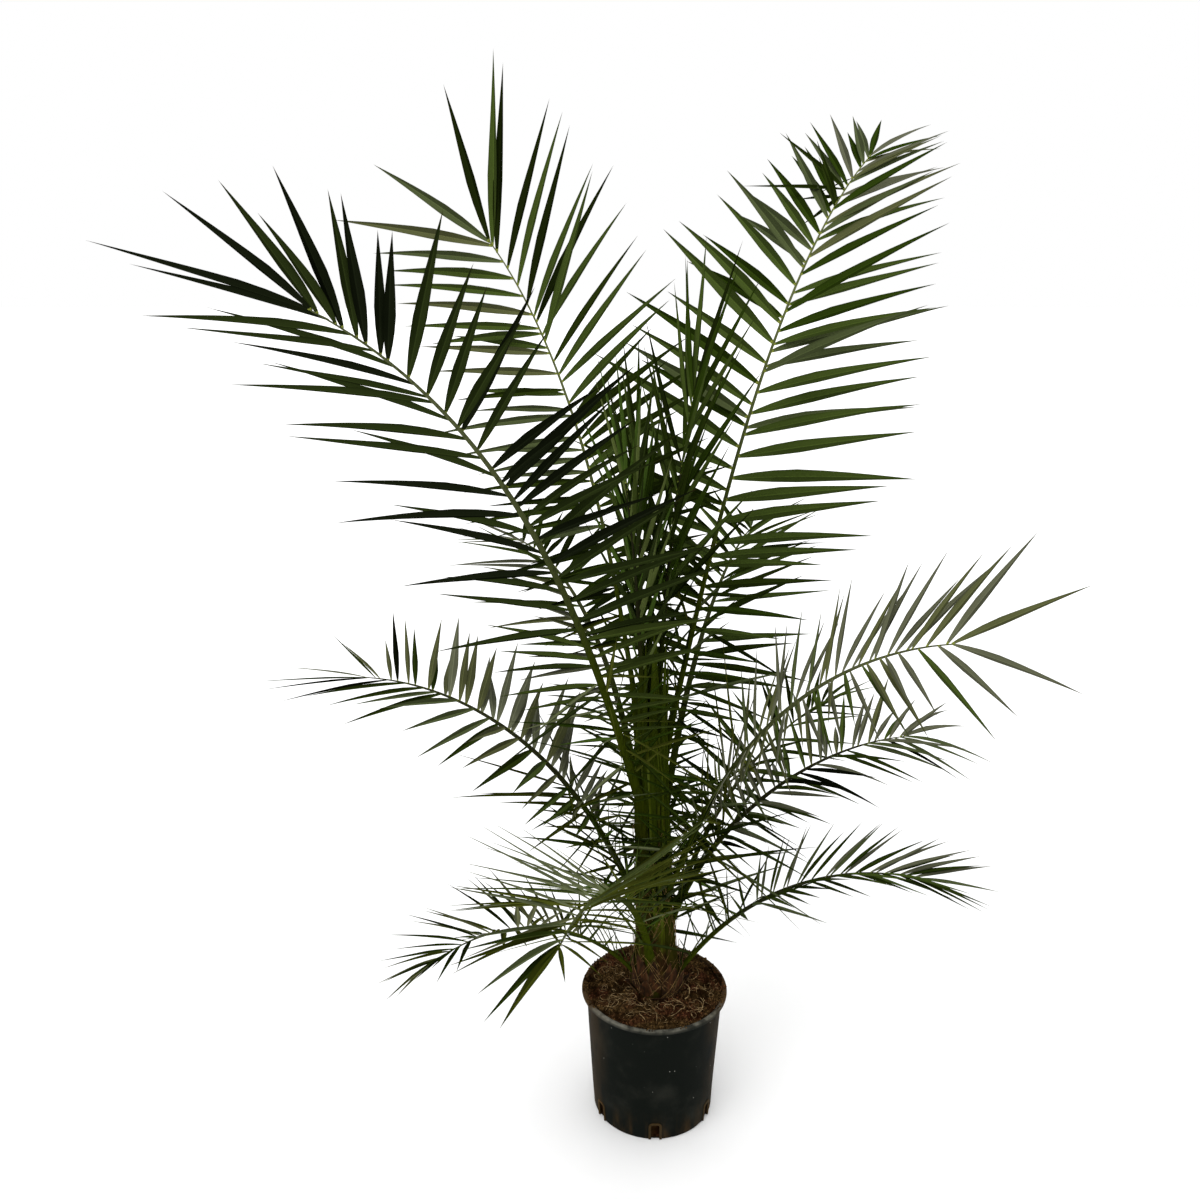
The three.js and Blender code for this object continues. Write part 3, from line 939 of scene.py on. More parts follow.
class LeafletTool(GeometryTool):
    """Sets a folded blade on every seat, bends it and gives each face its finish."""

    def __init__(self, finishes: Sequence[Finish]) -> None:
        """Builds the tree for a list of finishes, upper and under by tone and the cushion last.

        Args:
            finishes: What leaf_finishes gives.
        """
        super().__init__("leaflets_on_ribs", Blade="Object")
        graph = self.graph
        blade = graph.node("GeometryNodeObjectInfo", {"Object": self.given("Blade")})
        turned = graph.node(
            "FunctionNodeAxesToRotation", {0: graph.arrow("aim"), 1: graph.arrow("face")},
            primary_axis="Y", secondary_axis="Z",
        )
        breadth = graph.number("breadth")
        reach = graph.number("reach")
        size = graph.node("ShaderNodeCombineXYZ", {0: breadth, 1: reach, 2: breadth})
        placed = graph.node("GeometryNodeInstanceOnPoints", {
            "Points": self.given("Geometry"), "Instance": blade.outputs["Geometry"],
            "Rotation": turned, "Scale": size,
        })
        bend = reach * graph.arrow("blade").part(1) ** 2.0
        down = Arrow(graph, graph.node("ShaderNodeCombineXYZ", {2: -1.0}).outputs[0])
        offset = graph.arrow("face") * (bend * graph.number("bow")) + down * (bend * graph.number("sag"))
        shaped = graph.node("GeometryNodeSetPosition", {"Geometry": self.real(placed), "Offset": offset})
        zone = graph.number("zone")
        cushion = zone.apply("COMPARE", float(Zone.CUSHION), 0.5)
        look = (graph.number("tone") * 2.0 + zone) * (1 - cushion) + cushion * float(len(finishes) - 1)
        for number, finish in enumerate(finishes):
            shaped = graph.node("GeometryNodeSetMaterial", {
                "Geometry": shaped, "Selection": look.apply("COMPARE", float(number), 0.5),
                "Material": finish.material(),
            })
        self.end(shaped)

    def leaflets(self, name: str, seats: Sequence[Seat], blade: bpy.types.Object) -> bpy.types.Object:
        """Makes one piece out of many leaflets.

        Args:
            name: The piece's name.
            seats: Where each leaflet sits.
            blade: The carrier that holds the leaflet's outline.

        Returns:
            The finished piece.
        """
        mesh = make_mesh(name, [seat.place for seat in seats])
        carry_items(mesh, seats, "aim face", "reach breadth bow sag")
        carry(mesh, "tone", [int(seat.tone) for seat in seats], "INT")
        made = self.run(link(name, mesh), Blade=blade)
        strip(made.data, "aim face reach breadth bow sag tone zone")
        return made


# Stem and fronds

@dataclass(frozen=True)
class Stem:
    """The stem's own sizes, as in the part's source."""

    foot: float = 0.2623
    top: float = 0.815
    lean_start: float = 0.005
    lean_end: float = -0.016
    girth: tuple[tuple[float, float], ...] = (
        (0.0, 0.047), (0.022, 0.05), (0.055, 0.044), (0.095, 0.0385),
        (0.17, 0.0355), (0.34, 0.034), (0.48, 0.031), (0.545, 0.026),
    )

    def centre(self, height: float) -> Vector:
        """Centre of the leaning stem at a height."""
        share = clamp((height - self.foot) / (self.top - self.foot))
        return Vector((lerp(self.lean_start, self.lean_end, share), 0, height))

    def radius(self, height: float) -> float:
        """Radius of the stem at a height.

        Args:
            height: The height above the floor.

        Returns:
            The radius.
        """
        above = height - self.foot
        if above <= self.girth[0][0]:
            return self.girth[0][1]
        for (low, near), (high, far) in zip(self.girth, self.girth[1:]):
            if above <= high:
                return lerp(near, far, (above - low) / (high - low))
        return self.girth[-1][1]


STEM = Stem()
# The front frond takes mostly the two darkest greens, which are painted shade.
FRONT_MIX = greens("LUSH DARK DARK DUSK DUSK DEEP DUSK DEEP DUSK DEEP DEEP")
FIRST_MIX = greens("DARK WARM DUSK LUSH MOSS WARM")
DARK_MIX = greens("DARK DARK FRESH DUSK")
LOW_MIX = greens("WARM DARK OLIVE DUSK")
GREY_MIX = greens("GREY OLIVE GREY FRESH")
CENTRE_MIX = greens("LUSH DUSK DARK FRESH LUSH")


class Storey(Enum):
    """The groups of fronds that are joined into one piece of foliage each."""

    HIGH = "leaflets_high"
    CENTRE = "leaflets_centre"
    MIDDLE = "leaflets_middle"
    LOW = "leaflets_low"


@dataclass(frozen=True)
class Stray:
    """One leaflet that has turned out of line, with its angles in degrees."""

    share: float
    opening: float
    lift: float
    reach: float
    half_width: float
    bow: float = 0.0


@dataclass(frozen=True)
class Frond:
    """One frond's sizes, as in the part's source, and its looks.

    Angles are in degrees. right holds the values that differ on the rib's right side. partner is the
    share of leaflets that have a second one beside them, and late is how far those gather near the tip.
    tones and far_tones are the greens of the left and the right side, which drift deals out from foot
    to tip. tip_breadth narrows the leaflets at the tip. pale is how light the rib gets, and taper how
    late it narrows. tangle is how many thin first leaflets stand across its foot, and each one whose
    number crossing divides passes in front of the stem.
    """

    name: str
    storey: Storey
    turn: float
    sweep: float
    root: float
    length: float
    rise: float
    tip_rise: float
    bend: float
    leaflet: float
    spacing: float
    bare: float
    tip_leaf: float
    lift: float
    fan: float
    roll: float
    tip_forward: float
    inset: float = 0.0
    closed: float = 1.0
    start_forward: float = 94.0
    closing: float = 1.5
    right: dict[str, float] = field(default_factory=dict)
    breadth: float = 0.8
    partner: float = 0.7
    sheath: float = 0.2
    pale: float = 1.0
    taper: float = 1.2
    tangle: int = 0
    strays: tuple[Stray, ...] = ()
    drift: float = 0.0
    late: float = 0.0
    tip_breadth: float = 1.0
    crossing: int = 0
    sag: float = 0.05
    tones: tuple[Tone, ...] = DARK_MIX
    far_tones: tuple[Tone, ...] = ()

    steps = 48
    root_radius = 0.030
    half_width = 0.0085
    half_depth = 0.0065
    flare = 0.85
    flare_share = 0.1
    short_length = 0.65
    short_scale = 0.85

    def frame_at(self, share: float) -> tuple[Vector, Vector, Vector]:
        """Direction of the rib, its left side and its upper side at a share of its length.

        Args:
            share: The share of the rib's length.

        Returns:
            The three directions, each of length 1.
        """
        rise = math.radians(lerp(self.rise, self.tip_rise, share ** self.bend))
        turn = math.radians(self.turn + self.sweep * share)
        forward = Vector((math.cos(rise) * math.cos(turn), math.cos(rise) * math.sin(turn), math.sin(rise)))
        roll = math.radians(self.roll) * min(1, share / self.flare_share)
        side = Vector((-math.sin(turn), math.cos(turn), 0))
        side = side * math.cos(roll) + forward.cross(side) * math.sin(roll)
        return forward, side, forward.cross(side)

    def outward(self) -> Vector:
        """Level direction from the stem to the frond."""
        return around(math.radians(self.turn))

    def line(self) -> list[Vector]:
        """Centre line of the rib from the stem's edge to the tip.

        Returns:
            The line's points, evenly spaced.
        """
        points = [STEM.centre(self.root) + self.outward() * (self.inset or self.root_radius)]
        for i in range(self.steps):
            forward = self.frame_at((i + 0.5) / self.steps)[0]
            points.append(points[-1] + forward * (self.length / self.steps))
        return points


@dataclass
class FrondMaker:
    """Works out one frond's rib, leaflets and spines."""

    frond: Frond
    order: int

    full_half_width = 0.0118
    full_reach = 0.3
    least_breadth = 0.45
    rib_tip_scale = 0.14
    grow_in = 0.28
    first_scale = 0.4
    taper_from = 0.5
    taper_power = 1.4
    ranks = (-1.0, 0.2, 1.0)
    forward_wobble = 5.0
    lift_at_tip = 0.4
    lift_wobble = 5.0
    length_wobble = 0.07
    stagger = 0.22
    seeds_per_frond = 97
    spine_seeds = 3000
    first_leaflet_seeds = 6000
    partner_scale = 0.93
    partner_seed_step = 0.017
    end_share = 0.998
    attempts = 8
    crossing_attempts = 4
    spine_spacing = 0.027
    spine_half_width = 0.0021
    spine_reach = 0.12
    first_half_width = 0.0036
    first_reach = (0.11, 0.26)
    crossing_share = 0.85
    passing_room = 0.022
    soil_room = 0.07
    front_room = 0.9

    def __post_init__(self) -> None:
        """Works out the rib's centre line, the values of each side and the first seed."""
        self.line = self.frond.line()
        self.hands = {1: self.frond, -1: replace(self.frond, **self.frond.right)}
        self.first_seed = self.order * self.seeds_per_frond

    def at(self, share: float) -> Vector:
        """The point on the rib at a share of its length.

        Args:
            share: The share of the rib's length.

        Returns:
            The point.
        """
        along = clamp(share) * (len(self.line) - 1)
        index = min(int(along), len(self.line) - 2)
        return self.line[index].lerp(self.line[index + 1], along - index)

    def rib(self) -> list[Knot]:
        """The knots of the rib, from the foot of its sheath on the stem to its tip.

        Returns:
            The knots, from the foot up.
        """
        frond = self.frond
        knots = [] if frond.inset else self.sheath()
        slim = frond.short_scale if frond.length < frond.short_length else 1.0
        for share, place in zip(shares(frond.steps), self.line):
            _, side, up = frond.frame_at(share)
            scale = lerp(1, self.rib_tip_scale, share ** frond.taper) * slim
            broad = 1 + frond.flare * max(0.0, 1 - share / frond.flare_share) ** 1.5
            knots.append(Knot(
                place, side, up, frond.half_width * scale * broad, frond.half_depth * scale,
                along=lerp(0.12, 1, share ** 0.8), hug=6 * max(0.0, 1 - share / 0.06), pale=frond.pale,
            ))
        return knots

    def sheath(self) -> list[Knot]:
        """The broad leaf base that clasps the stem below the rib.

        Returns:
            The knots, from the foot up to the rib.
        """
        frond = self.frond
        out = frond.outward()
        low = max(STEM.foot - 0.004, frond.root - frond.sheath)
        count = max(5, round((frond.root - low) / 0.018))
        knots = []
        for share in shares(count)[:-1]:
            height = lerp(low, frond.root, share)
            away = lerp(STEM.radius(height) - 0.001, frond.root_radius, smooth(share) ** 2)
            half = lerp(0.021, frond.half_width * 1.85, smooth(share))
            knots.append(Knot(
                STEM.centre(height) + out * away, UP.cross(out), -out, half,
                lerp(0.0035, frond.half_depth, share), along=0.12 * share, hug=lerp(13, 6, share),
            ))
        return knots

    def leaflet_length(self, frond: Frond, along: float, seed: float) -> float:
        """Length of a leaflet: short at first, longest in the middle, shorter to the tip.

        Args:
            frond: The values of the leaflet's side.
            along: The share along the leafy part.
            seed: The seed of its own small change.

        Returns:
            The length.
        """
        grow = lerp(self.first_scale, 1, min(1, along / self.grow_in))
        taper = max(0.0, (along - self.taper_from) / (1 - self.taper_from)) ** self.taper_power
        long = frond.leaflet * grow * lerp(1, frond.tip_leaf, taper)
        return long * (1 + self.length_wobble * wobble(seed))

    def aim(self, share: float, hand: int, opening: float, lift: float) -> tuple[Vector, Vector]:
        """The way a leaflet points and the way its upper face looks, from angles in degrees.

        Args:
            share: The share of the rib's length.
            hand: 1 for the left side, -1 for the right.
            opening: The angle away from the rib.
            lift: The angle above the frond's plane.

        Returns:
            The two directions.
        """
        forward, side, up = self.frond.frame_at(share)
        opening = math.radians(opening)
        lift = math.radians(lift)
        sideways = side * (math.cos(lift) * hand) + up * math.sin(lift)
        way = forward * math.cos(opening) + sideways * math.sin(opening)
        return way.normalized(), (up - way * up.dot(way)).normalized()

    def tone(self, along: float, hand: int, seed: float) -> Tone:
        """The green of a leaflet.

        Args:
            along: The share along the leafy part.
            hand: 1 for the left side, -1 for the right.
            seed: The seed that picks it.

        Returns:
            One of the frond's tones.
        """
        frond = self.frond
        tones = frond.far_tones if hand < 0 and frond.far_tones else frond.tones
        pick = lerp(wobble(seed) * 0.5 + 0.5, clamp(along), frond.drift)
        return tones[int(pick * len(tones)) % len(tones)]

    def seat(self, along: float, hand: int, rank: float, seed: float, scale: float) -> Seat:
        """One leaflet's seat at a share along the leafy part of the rib.

        Args:
            along: The share along the leafy part.
            hand: 1 for the left side, -1 for the right.
            rank: How far it fans up or down, from -1 to 1.
            seed: The seed of its small changes.
            scale: A factor on its length.

        Returns:
            The seat.
        """
        frond = self.hands[hand]
        share = lerp(frond.bare, 1, along)
        opening = lerp(frond.start_forward, frond.tip_forward, along ** frond.closing)
        opening = (opening + self.forward_wobble * wobble(seed)) * frond.closed
        lift = frond.lift * lerp(1, self.lift_at_tip, along) + frond.fan * rank
        lift += self.lift_wobble * wobble(seed + 0.5)
        reach = self.leaflet_length(frond, along, seed + 0.25) * scale
        breadth = self.full_half_width * max(self.least_breadth, reach / self.full_reach)
        breadth *= frond.breadth * lerp(1, frond.tip_breadth, along ** 4)
        breadth *= 1 + 0.1 * wobble(seed + 0.7)
        return Seat(
            self.at(share), *self.aim(share, hand, opening, lift), reach, breadth,
            bow=0.03 * wobble(seed + 0.8), sag=frond.sag * (1 + 0.6 * wobble(seed + 0.9)),
            tone=self.tone(along, hand, seed + 0.4),
        )

    def leaflets(self) -> list[Seat]:
        """Every leaflet of the frond: the source's own, and partners set close beside them.

        Returns:
            The seats.
        """
        frond = self.frond
        per_side = round(frond.length * (1 - frond.bare) / frond.spacing)
        seats = []
        for i in range(per_side):
            for upper, hand in enumerate((-1, 1)):
                seed = self.first_seed + i * 2 + upper
                along = (i + 0.5 + self.stagger * hand) / per_side
                seats.append(self.seat(along, hand, self.ranks[(i + upper) % 3], seed, 1.0))
                chance = self.hands[hand].partner * (1 + frond.late * (2 * along - 1))
                for more in range(2):
                    step = self.partner_seed_step * more
                    beside = along + (0.32 + 0.3 * more + 0.1 * wobble(seed + 0.3 + step)) / per_side
                    rank = self.ranks[(i + upper + 1 + more) % 3] + 0.35 * wobble(seed + 0.35 + step)
                    if wobble(seed + 0.11 + step) * 0.5 + 0.5 < chance - more and beside < 1:
                        seats.append(self.seat(beside, hand, rank, seed + 0.13 + step, self.partner_scale))
        seats += [self.end(hand) for hand in (-1, 1)]
        seats += [self.stray(stray) for stray in frond.strays]
        return seats + self.first_leaflets()

    def stray(self, stray: Stray) -> Seat:
        """The seat of one leaflet that has turned out of line.

        Args:
            stray: The leaflet's place and angles.

        Returns:
            The seat.
        """
        way, face = self.aim(stray.share, 1, stray.opening, stray.lift)
        return Seat(
            self.at(stray.share), way, face, stray.reach, stray.half_width, stray.bow, 0.02, Tone.DARK,
        )

    def end(self, hand: int) -> Seat:
        """One leaflet of the pair that ends the rib.

        Args:
            hand: 1 for the left side, -1 for the right.

        Returns:
            The seat.
        """
        seat = self.seat(self.end_share, hand, 0.3 * hand, self.first_seed + 0.6 + 0.1 * hand, 1.0)
        opening = self.hands[hand].tip_forward * 0.5 * self.frond.closed
        seat.aim, seat.face = self.aim(self.end_share, hand, opening, 0)
        return seat

    def first_leaflets(self) -> list[Seat]:
        """The long, thin first leaflets, which point every way across the frond's foot.

        Returns:
            The seats of those that keep clear of the stem and the soil.
        """
        frond = self.frond
        seats = []
        for i in range(frond.tangle):
            seed = self.first_leaflet_seeds + self.first_seed + i
            share = lerp(0.04, frond.bare + 0.14, (i + 0.5) / frond.tangle)
            reach = lerp(*self.first_reach, 0.5 + 0.5 * wobble(seed + 0.3))
            for attempt in range(self.attempts):
                turned = seed + 0.11 * attempt
                if frond.crossing and i % frond.crossing == 0 and attempt < self.crossing_attempts:
                    place = self.at(share * self.crossing_share)
                    way, face = self.across(place, turned)
                else:
                    hand = 1 if (i + attempt) % 2 else -1
                    place = self.at(share)
                    way, face = self.aim(
                        share, hand, 74 + 46 * wobble(turned + 0.1), 72 * wobble(turned + 0.2),
                    )
                if self.clears_stem(place, place + way * reach):
                    half = self.first_half_width * (1 + 0.25 * wobble(seed + 0.7))
                    bow = 0.05 * wobble(seed + 0.8)
                    tone = FIRST_MIX[i % len(FIRST_MIX)]
                    seats.append(Seat(place, way, face, reach, half, bow, 0.05, tone))
                    break
        return seats

    def across(self, place: Vector, seed: float) -> tuple[Vector, Vector]:
        """The way from a place on the rib past the front of the stem, and a face turned up to match.

        Args:
            place: The leaflet's root.
            seed: The seed of its height and room.

        Returns:
            The two directions.
        """
        height = place.z + 0.08 * wobble(seed)
        front = Vector((0, -STEM.radius(height) - self.passing_room * (1 + 0.5 * wobble(seed + 0.4)), 0))
        way = (STEM.centre(height) + front - place).normalized()
        face = Vector((0, -0.5, 1)) + way * 0.5 * way.y - way * way.z
        return way, face.normalized()

    def clears_stem(self, start: Vector, end: Vector) -> bool:
        """Whether a straight leaflet passes the stem and the soil, apart from its own root.

        Args:
            start: The leaflet's root.
            end: Its tip.

        Returns:
            Whether it stays clear.
        """
        for share in shares(10)[2:]:
            spot = start.lerp(end, share)
            near = (spot - STEM.centre(spot.z)).length < STEM.radius(spot.z) + 0.004
            room = self.soil_room + self.front_room * max(0.0, -spot.y)
            if spot.z < STEM.foot + room or (spot.z < STEM.top and near):
                return False
        return True

    def spines(self) -> list[Seat]:
        """The stiff spines on the bare part of the rib, longer towards the first leaflets.

        Returns:
            The seats.
        """
        frond = self.frond
        count = round(frond.length * (frond.bare - 0.05) / self.spine_spacing)
        seats = []
        for i in range(count):
            for upper, hand in enumerate((-1, 1)):
                seed = self.spine_seeds + self.first_seed + i * 2 + upper
                along = (i + 0.5 + 0.3 * wobble(seed)) / count
                share = lerp(0.05, frond.bare + 0.04, along)
                opening = (lerp(45, 78, along) + 16 * wobble(seed + 0.2)) * frond.closed
                way, face = self.aim(share, hand, opening, frond.lift + 45 * wobble(seed + 0.5) + 18)
                reach = self.spine_reach * lerp(0.25, 1, along) * (1 + 0.3 * wobble(seed + 0.7))
                half = self.spine_half_width * lerp(0.8, 1.5, along)
                bow = 0.05 * wobble(seed + 0.8)
                seats.append(Seat(self.at(share), way, face, reach, half, bow, 0.03, Tone.DARK))
        return seats


YOUNG = {"breadth": 0.7, "partner": 1, "tones": CENTRE_MIX, "pale": 0.0}

# The numbers in each frond's second line: turn, sweep, root, length, rise, tip_rise, bend, leaflet, spacing,
# bare, tip_leaf, lift, fan, roll, tip_forward.
FRONDS: tuple[Frond, ...] = (
    Frond(
        "frond_front_left_high", Storey.HIGH,
        222, 4, 0.682, 1.12, 70, 27, 2, 0.285, 0.041, 0.12, 0.9, 8, 12, 28, 30,
        start_forward=88, right={"start_forward": 94, "partner": 0.2}, partner=0.45, sheath=0.3, pale=0.6,
        taper=1.3, tangle=24, crossing=3, drift=0.75, tones=FRONT_MIX,
    ),
    Frond(
        "frond_back_left_high", Storey.HIGH,
        122, 12, 0.78, 1.015, 74, 41, 1.9, 0.285, 0.043, 0.16, 1.35, 0, 12, -70, 30,
        right={"tip_forward": 38, "partner": 0.85, "breadth": 0.72}, breadth=0.66, sheath=0.3, taper=0.5,
        tangle=10, late=-0.75, drift=0.7, tones=greens("DEEP DUSK DARK MOSS FRESH OLIVE MOSS"),
        far_tones=DARK_MIX,
    ),
    Frond(
        "frond_back_right_high", Storey.HIGH,
        40, 15, 0.744, 1.305, 73.5, 26, 2.3, 0.355, 0.041, 0.12, 0.58, -4, 12, 12, 30,
        start_forward=84, right={"leaflet": 0.325, "tip_leaf": 0.68, "start_forward": 80, "tip_forward": 22},
        breadth=0.86, partner=0.4, late=0.95, sheath=0.3, taper=0.5, tangle=20, drift=0.55,
        tones=greens("LUSH DARK FRESH FRESH MOSS LUSH OLIVE GREY"),
        strays=(
            Stray(0.9, 112, 10, 0.2, 0.0065), Stray(0.9, 84, 34, 0.17, 0.0075),
            Stray(0.88, 68, -28, 0.15, 0.007), Stray(0.87, 52, 46, 0.13, 0.006),
            Stray(0.885, 132, -40, 0.09, 0.006, 0.2), Stray(0.86, 60, 60, 0.1, 0.005, -0.25),
            Stray(0.93, 96, -30, 0.1, 0.003),
        ),
    ),
    Frond(
        "frond_right_middle", Storey.MIDDLE,
        -30, 12, 0.486, 0.775, 70.5, 10, 1.9, 0.18, 0.032, 0.3, 1.35, 0, 14, 40, 50,
        start_forward=60, closing=1, breadth=0.76, partner=0.65, late=-0.6, pale=0.45, tangle=50, crossing=3,
        right={"leaflet": 0.155, "start_forward": 96, "closing": 2.4, "lift": 22, "partner": 1.1},
        tones=greens("GREY MOSS GREY OLIVE"), far_tones=greens("OLIVE FRESH GREY"),
    ),
    Frond(
        "frond_right_lower", Storey.LOW,
        4, 13, 0.402, 0.626, 72, -2, 1.15, 0.16, 0.033, 0.3, 1.1, 4, 18, 18, 32,
        start_forward=80, closing=2.2, right={"start_forward": 58, "tip_forward": 34, "closing": 1},
        breadth=0.84, sheath=0.14, sag=0.12, pale=0.0, tangle=40, crossing=4,
        tones=GREY_MIX, far_tones=greens("DARK MOSS GREY DEEP"),
    ),
    Frond(
        "frond_right_low", Storey.LOW,
        -12, 13, 0.282, 0.562, 60, -16, 1.4, 0.15, 0.028, 0.36, 1.3, 50, 12, 12, 20,
        start_forward=72, closing=0.6, right={"leaflet": 0.12, "lift": 26},
        breadth=0.76, pale=0.1, tangle=12,
        tones=greens("DARK GREY MOSS"), far_tones=DARK_MIX,
    ),
    Frond(
        "frond_left_middle", Storey.MIDDLE,
        172, 6, 0.445, 0.72, 66.5, 3, 1.55, 0.165, 0.033, 0.26, 1.35, 4, 14, -18, 14,
        start_forward=84, closing=1.7,
        right={
            "leaflet": 0.19, "partner": 1.0, "tip_leaf": 0.9, "start_forward": 78, "tip_forward": 20,
            "closing": 20, "breadth": 1.35,
        },
        breadth=1.2, partner=0.25, drift=0.6, tip_breadth=0.25, pale=0.1, tangle=56, crossing=4,
        tones=greens("MOSS FRESH OLIVE DARK MOSS DARK DEEP"),
        far_tones=greens("OLIVE PALE GREY PALE OLIVE PALE DARK DEEP"),
    ),
    Frond(
        "frond_front_low", Storey.LOW,
        250, 11, 0.316, 0.84, 86, 12, 0.5, 0.235, 0.035, 0.36, 0.45, 40, 10, 0, 30,
        right={
            "leaflet": 0.225, "tip_leaf": 1, "lift": 20, "fan": 14, "tip_forward": 15, "partner": 1.0,
            "breadth": 0.8,
        },
        breadth=0.6, partner=1.8, tangle=12, pale=0.5,
        tones=greens("WARM WARM DARK WARM FRESH"), far_tones=greens("MOSS WARM DARK OLIVE MOSS"),
    ),
    Frond(
        "frond_left_low", Storey.LOW,
        186, 40, 0.279, 0.5, 58, -12, 0.93, 0.15, 0.029, 0.34, 0.6, 20, 18, 20, 14,
        start_forward=80, closing=2, right={"leaflet": 0.17, "lift": 44, "fan": 8},
        breadth=0.95, partner=0.9, tones=LOW_MIX, pale=0.2, tangle=6,
    ),
    Frond(
        "frond_back_left_middle", Storey.MIDDLE,
        120, 4, 0.59, 0.74, 73, -4, 1.6, 0.22, 0.046, 0.28, 0.8, 16, 18, 0, 28,
        partner=0.5, tones=GREY_MIX, far_tones=DARK_MIX, pale=0.4, tangle=6,
    ),
    Frond(
        "frond_back_right_middle", Storey.MIDDLE,
        62, 5, 0.545, 0.78, 75, 4, 1.5, 0.235, 0.047, 0.28, 0.8, 16, 18, 0, 28, pale=0.4, tangle=10,
    ),
    Frond(
        "frond_back_right_low", Storey.LOW,
        34, 6, 0.36, 0.62, 77, 6, 1.1, 0.18, 0.042, 0.3, 0.8, 18, 18, 0, 26,
        partner=0.8, sheath=0.12, pale=0.3, tangle=8,
    ),
    Frond(
        "frond_back_low", Storey.LOW,
        96, -6, 0.33, 0.61, 76, -14, 1, 0.18, 0.040, 0.34, 0.75, 18, 18, 0, 26,
        partner=0.8, pale=0.3, tangle=8,
    ),
    Frond(
        "frond_centre_back", Storey.CENTRE,
        35, 0, 0.795, 0.62, 88, 77, 1.5, 0.27, 0.052, 0.2, 1, 8, 22, 0, 44,
        inset=0.016, closed=0.4, sag=0.01, **YOUNG,
    ),
    Frond(
        "frond_centre_front", Storey.CENTRE,
        215, 0, 0.8, 0.48, 88, 80, 1.5, 0.235, 0.048, 0.2, 1, 6, 22, 0, 44,
        inset=0.016, closed=0.34, sag=0.01, **YOUNG,
    ),
    Frond(
        "spear_centre", Storey.CENTRE,
        130, 0, 0.8, 0.5, 89, 85, 1, 0.22, 0.074, 0.24, 1, 6, 20, 0, 40,
        inset=0.018, closed=0.24, sag=0.0, **YOUNG,
    ),
)


@dataclass
class Crown:
    """All the fronds: their ribs, leaflets and spines."""

    tubes: TubeTool
    rib_skin: RibSkin = RibSkin("rib_skin")
    leaf: Blade = Blade("leaflet_blade")
    spine: Blade = Blade("spine_blade", (0, 0.05, 0.4, 0.75), 0.05, 0.9, 0.2, 0.5, 0)

    def build(self) -> list[bpy.types.Object]:
        """Makes the ribs in one piece, the spines in one, and the leaflets in one for each storey.

        Returns:
            The finished pieces.
        """
        makers = [FrondMaker(frond, order) for order, frond in enumerate(FRONDS)]
        names = [frond.name for frond in FRONDS]
        ribs = self.tubes.tubes("frond_ribs", [maker.rib() for maker in makers], self.rib_skin, 12, 0.45)
        pieces = [settle(ribs, "frond", *names)]
        tool = LeafletTool(leaf_finishes())
        blade = self.leaf.carrier()
        spine = self.spine.carrier()
        for storey in Storey:
            own = [maker for maker in makers if maker.frond.storey is storey]
            piece = tool.leaflets(storey.value, [seat for maker in own for seat in maker.leaflets()], blade)
            pieces.append(settle(piece, "frond", *[maker.frond.name for maker in own]))
        spines = tool.leaflets("rib_spines", [seat for maker in makers for seat in maker.spines()], spine)
        pieces.append(settle(spines, "frond", *names))
        for carrier in (blade, spine):
            bpy.data.objects.remove(carrier)
        return pieces


def skin(name: str, rows: Sequence[Sequence[Vector]], finish: Finish | None = None) -> bpy.types.Object:
    """A closed skin over rings of points that run the same way round.

    Args:
        name: The piece's name.
        rows: The rings, each with the same number of points. The first and last are filled.
        finish: What it is made of, unless that comes later.

    Returns:
        The piece, its faces outwards.
    """
    count = len(rows[0])
    points = [point for row in rows for point in row]
    faces: list[tuple[int, ...]] = []
    for low in range(0, len(points) - count, count):
        for i in range(count):
            near = (i + 1) % count
            faces.append((low + i, low + near, low + count + near, low + count + i))
    faces.append(tuple(reversed(range(count))))
    faces.append(tuple(range(len(points) - count, len(points))))
    mesh = make_mesh(name, points, (), faces)
    outward(mesh)
    mesh.shade_smooth()
    if finish:
        mesh.materials.append(finish.material())
    return link(name, mesh)


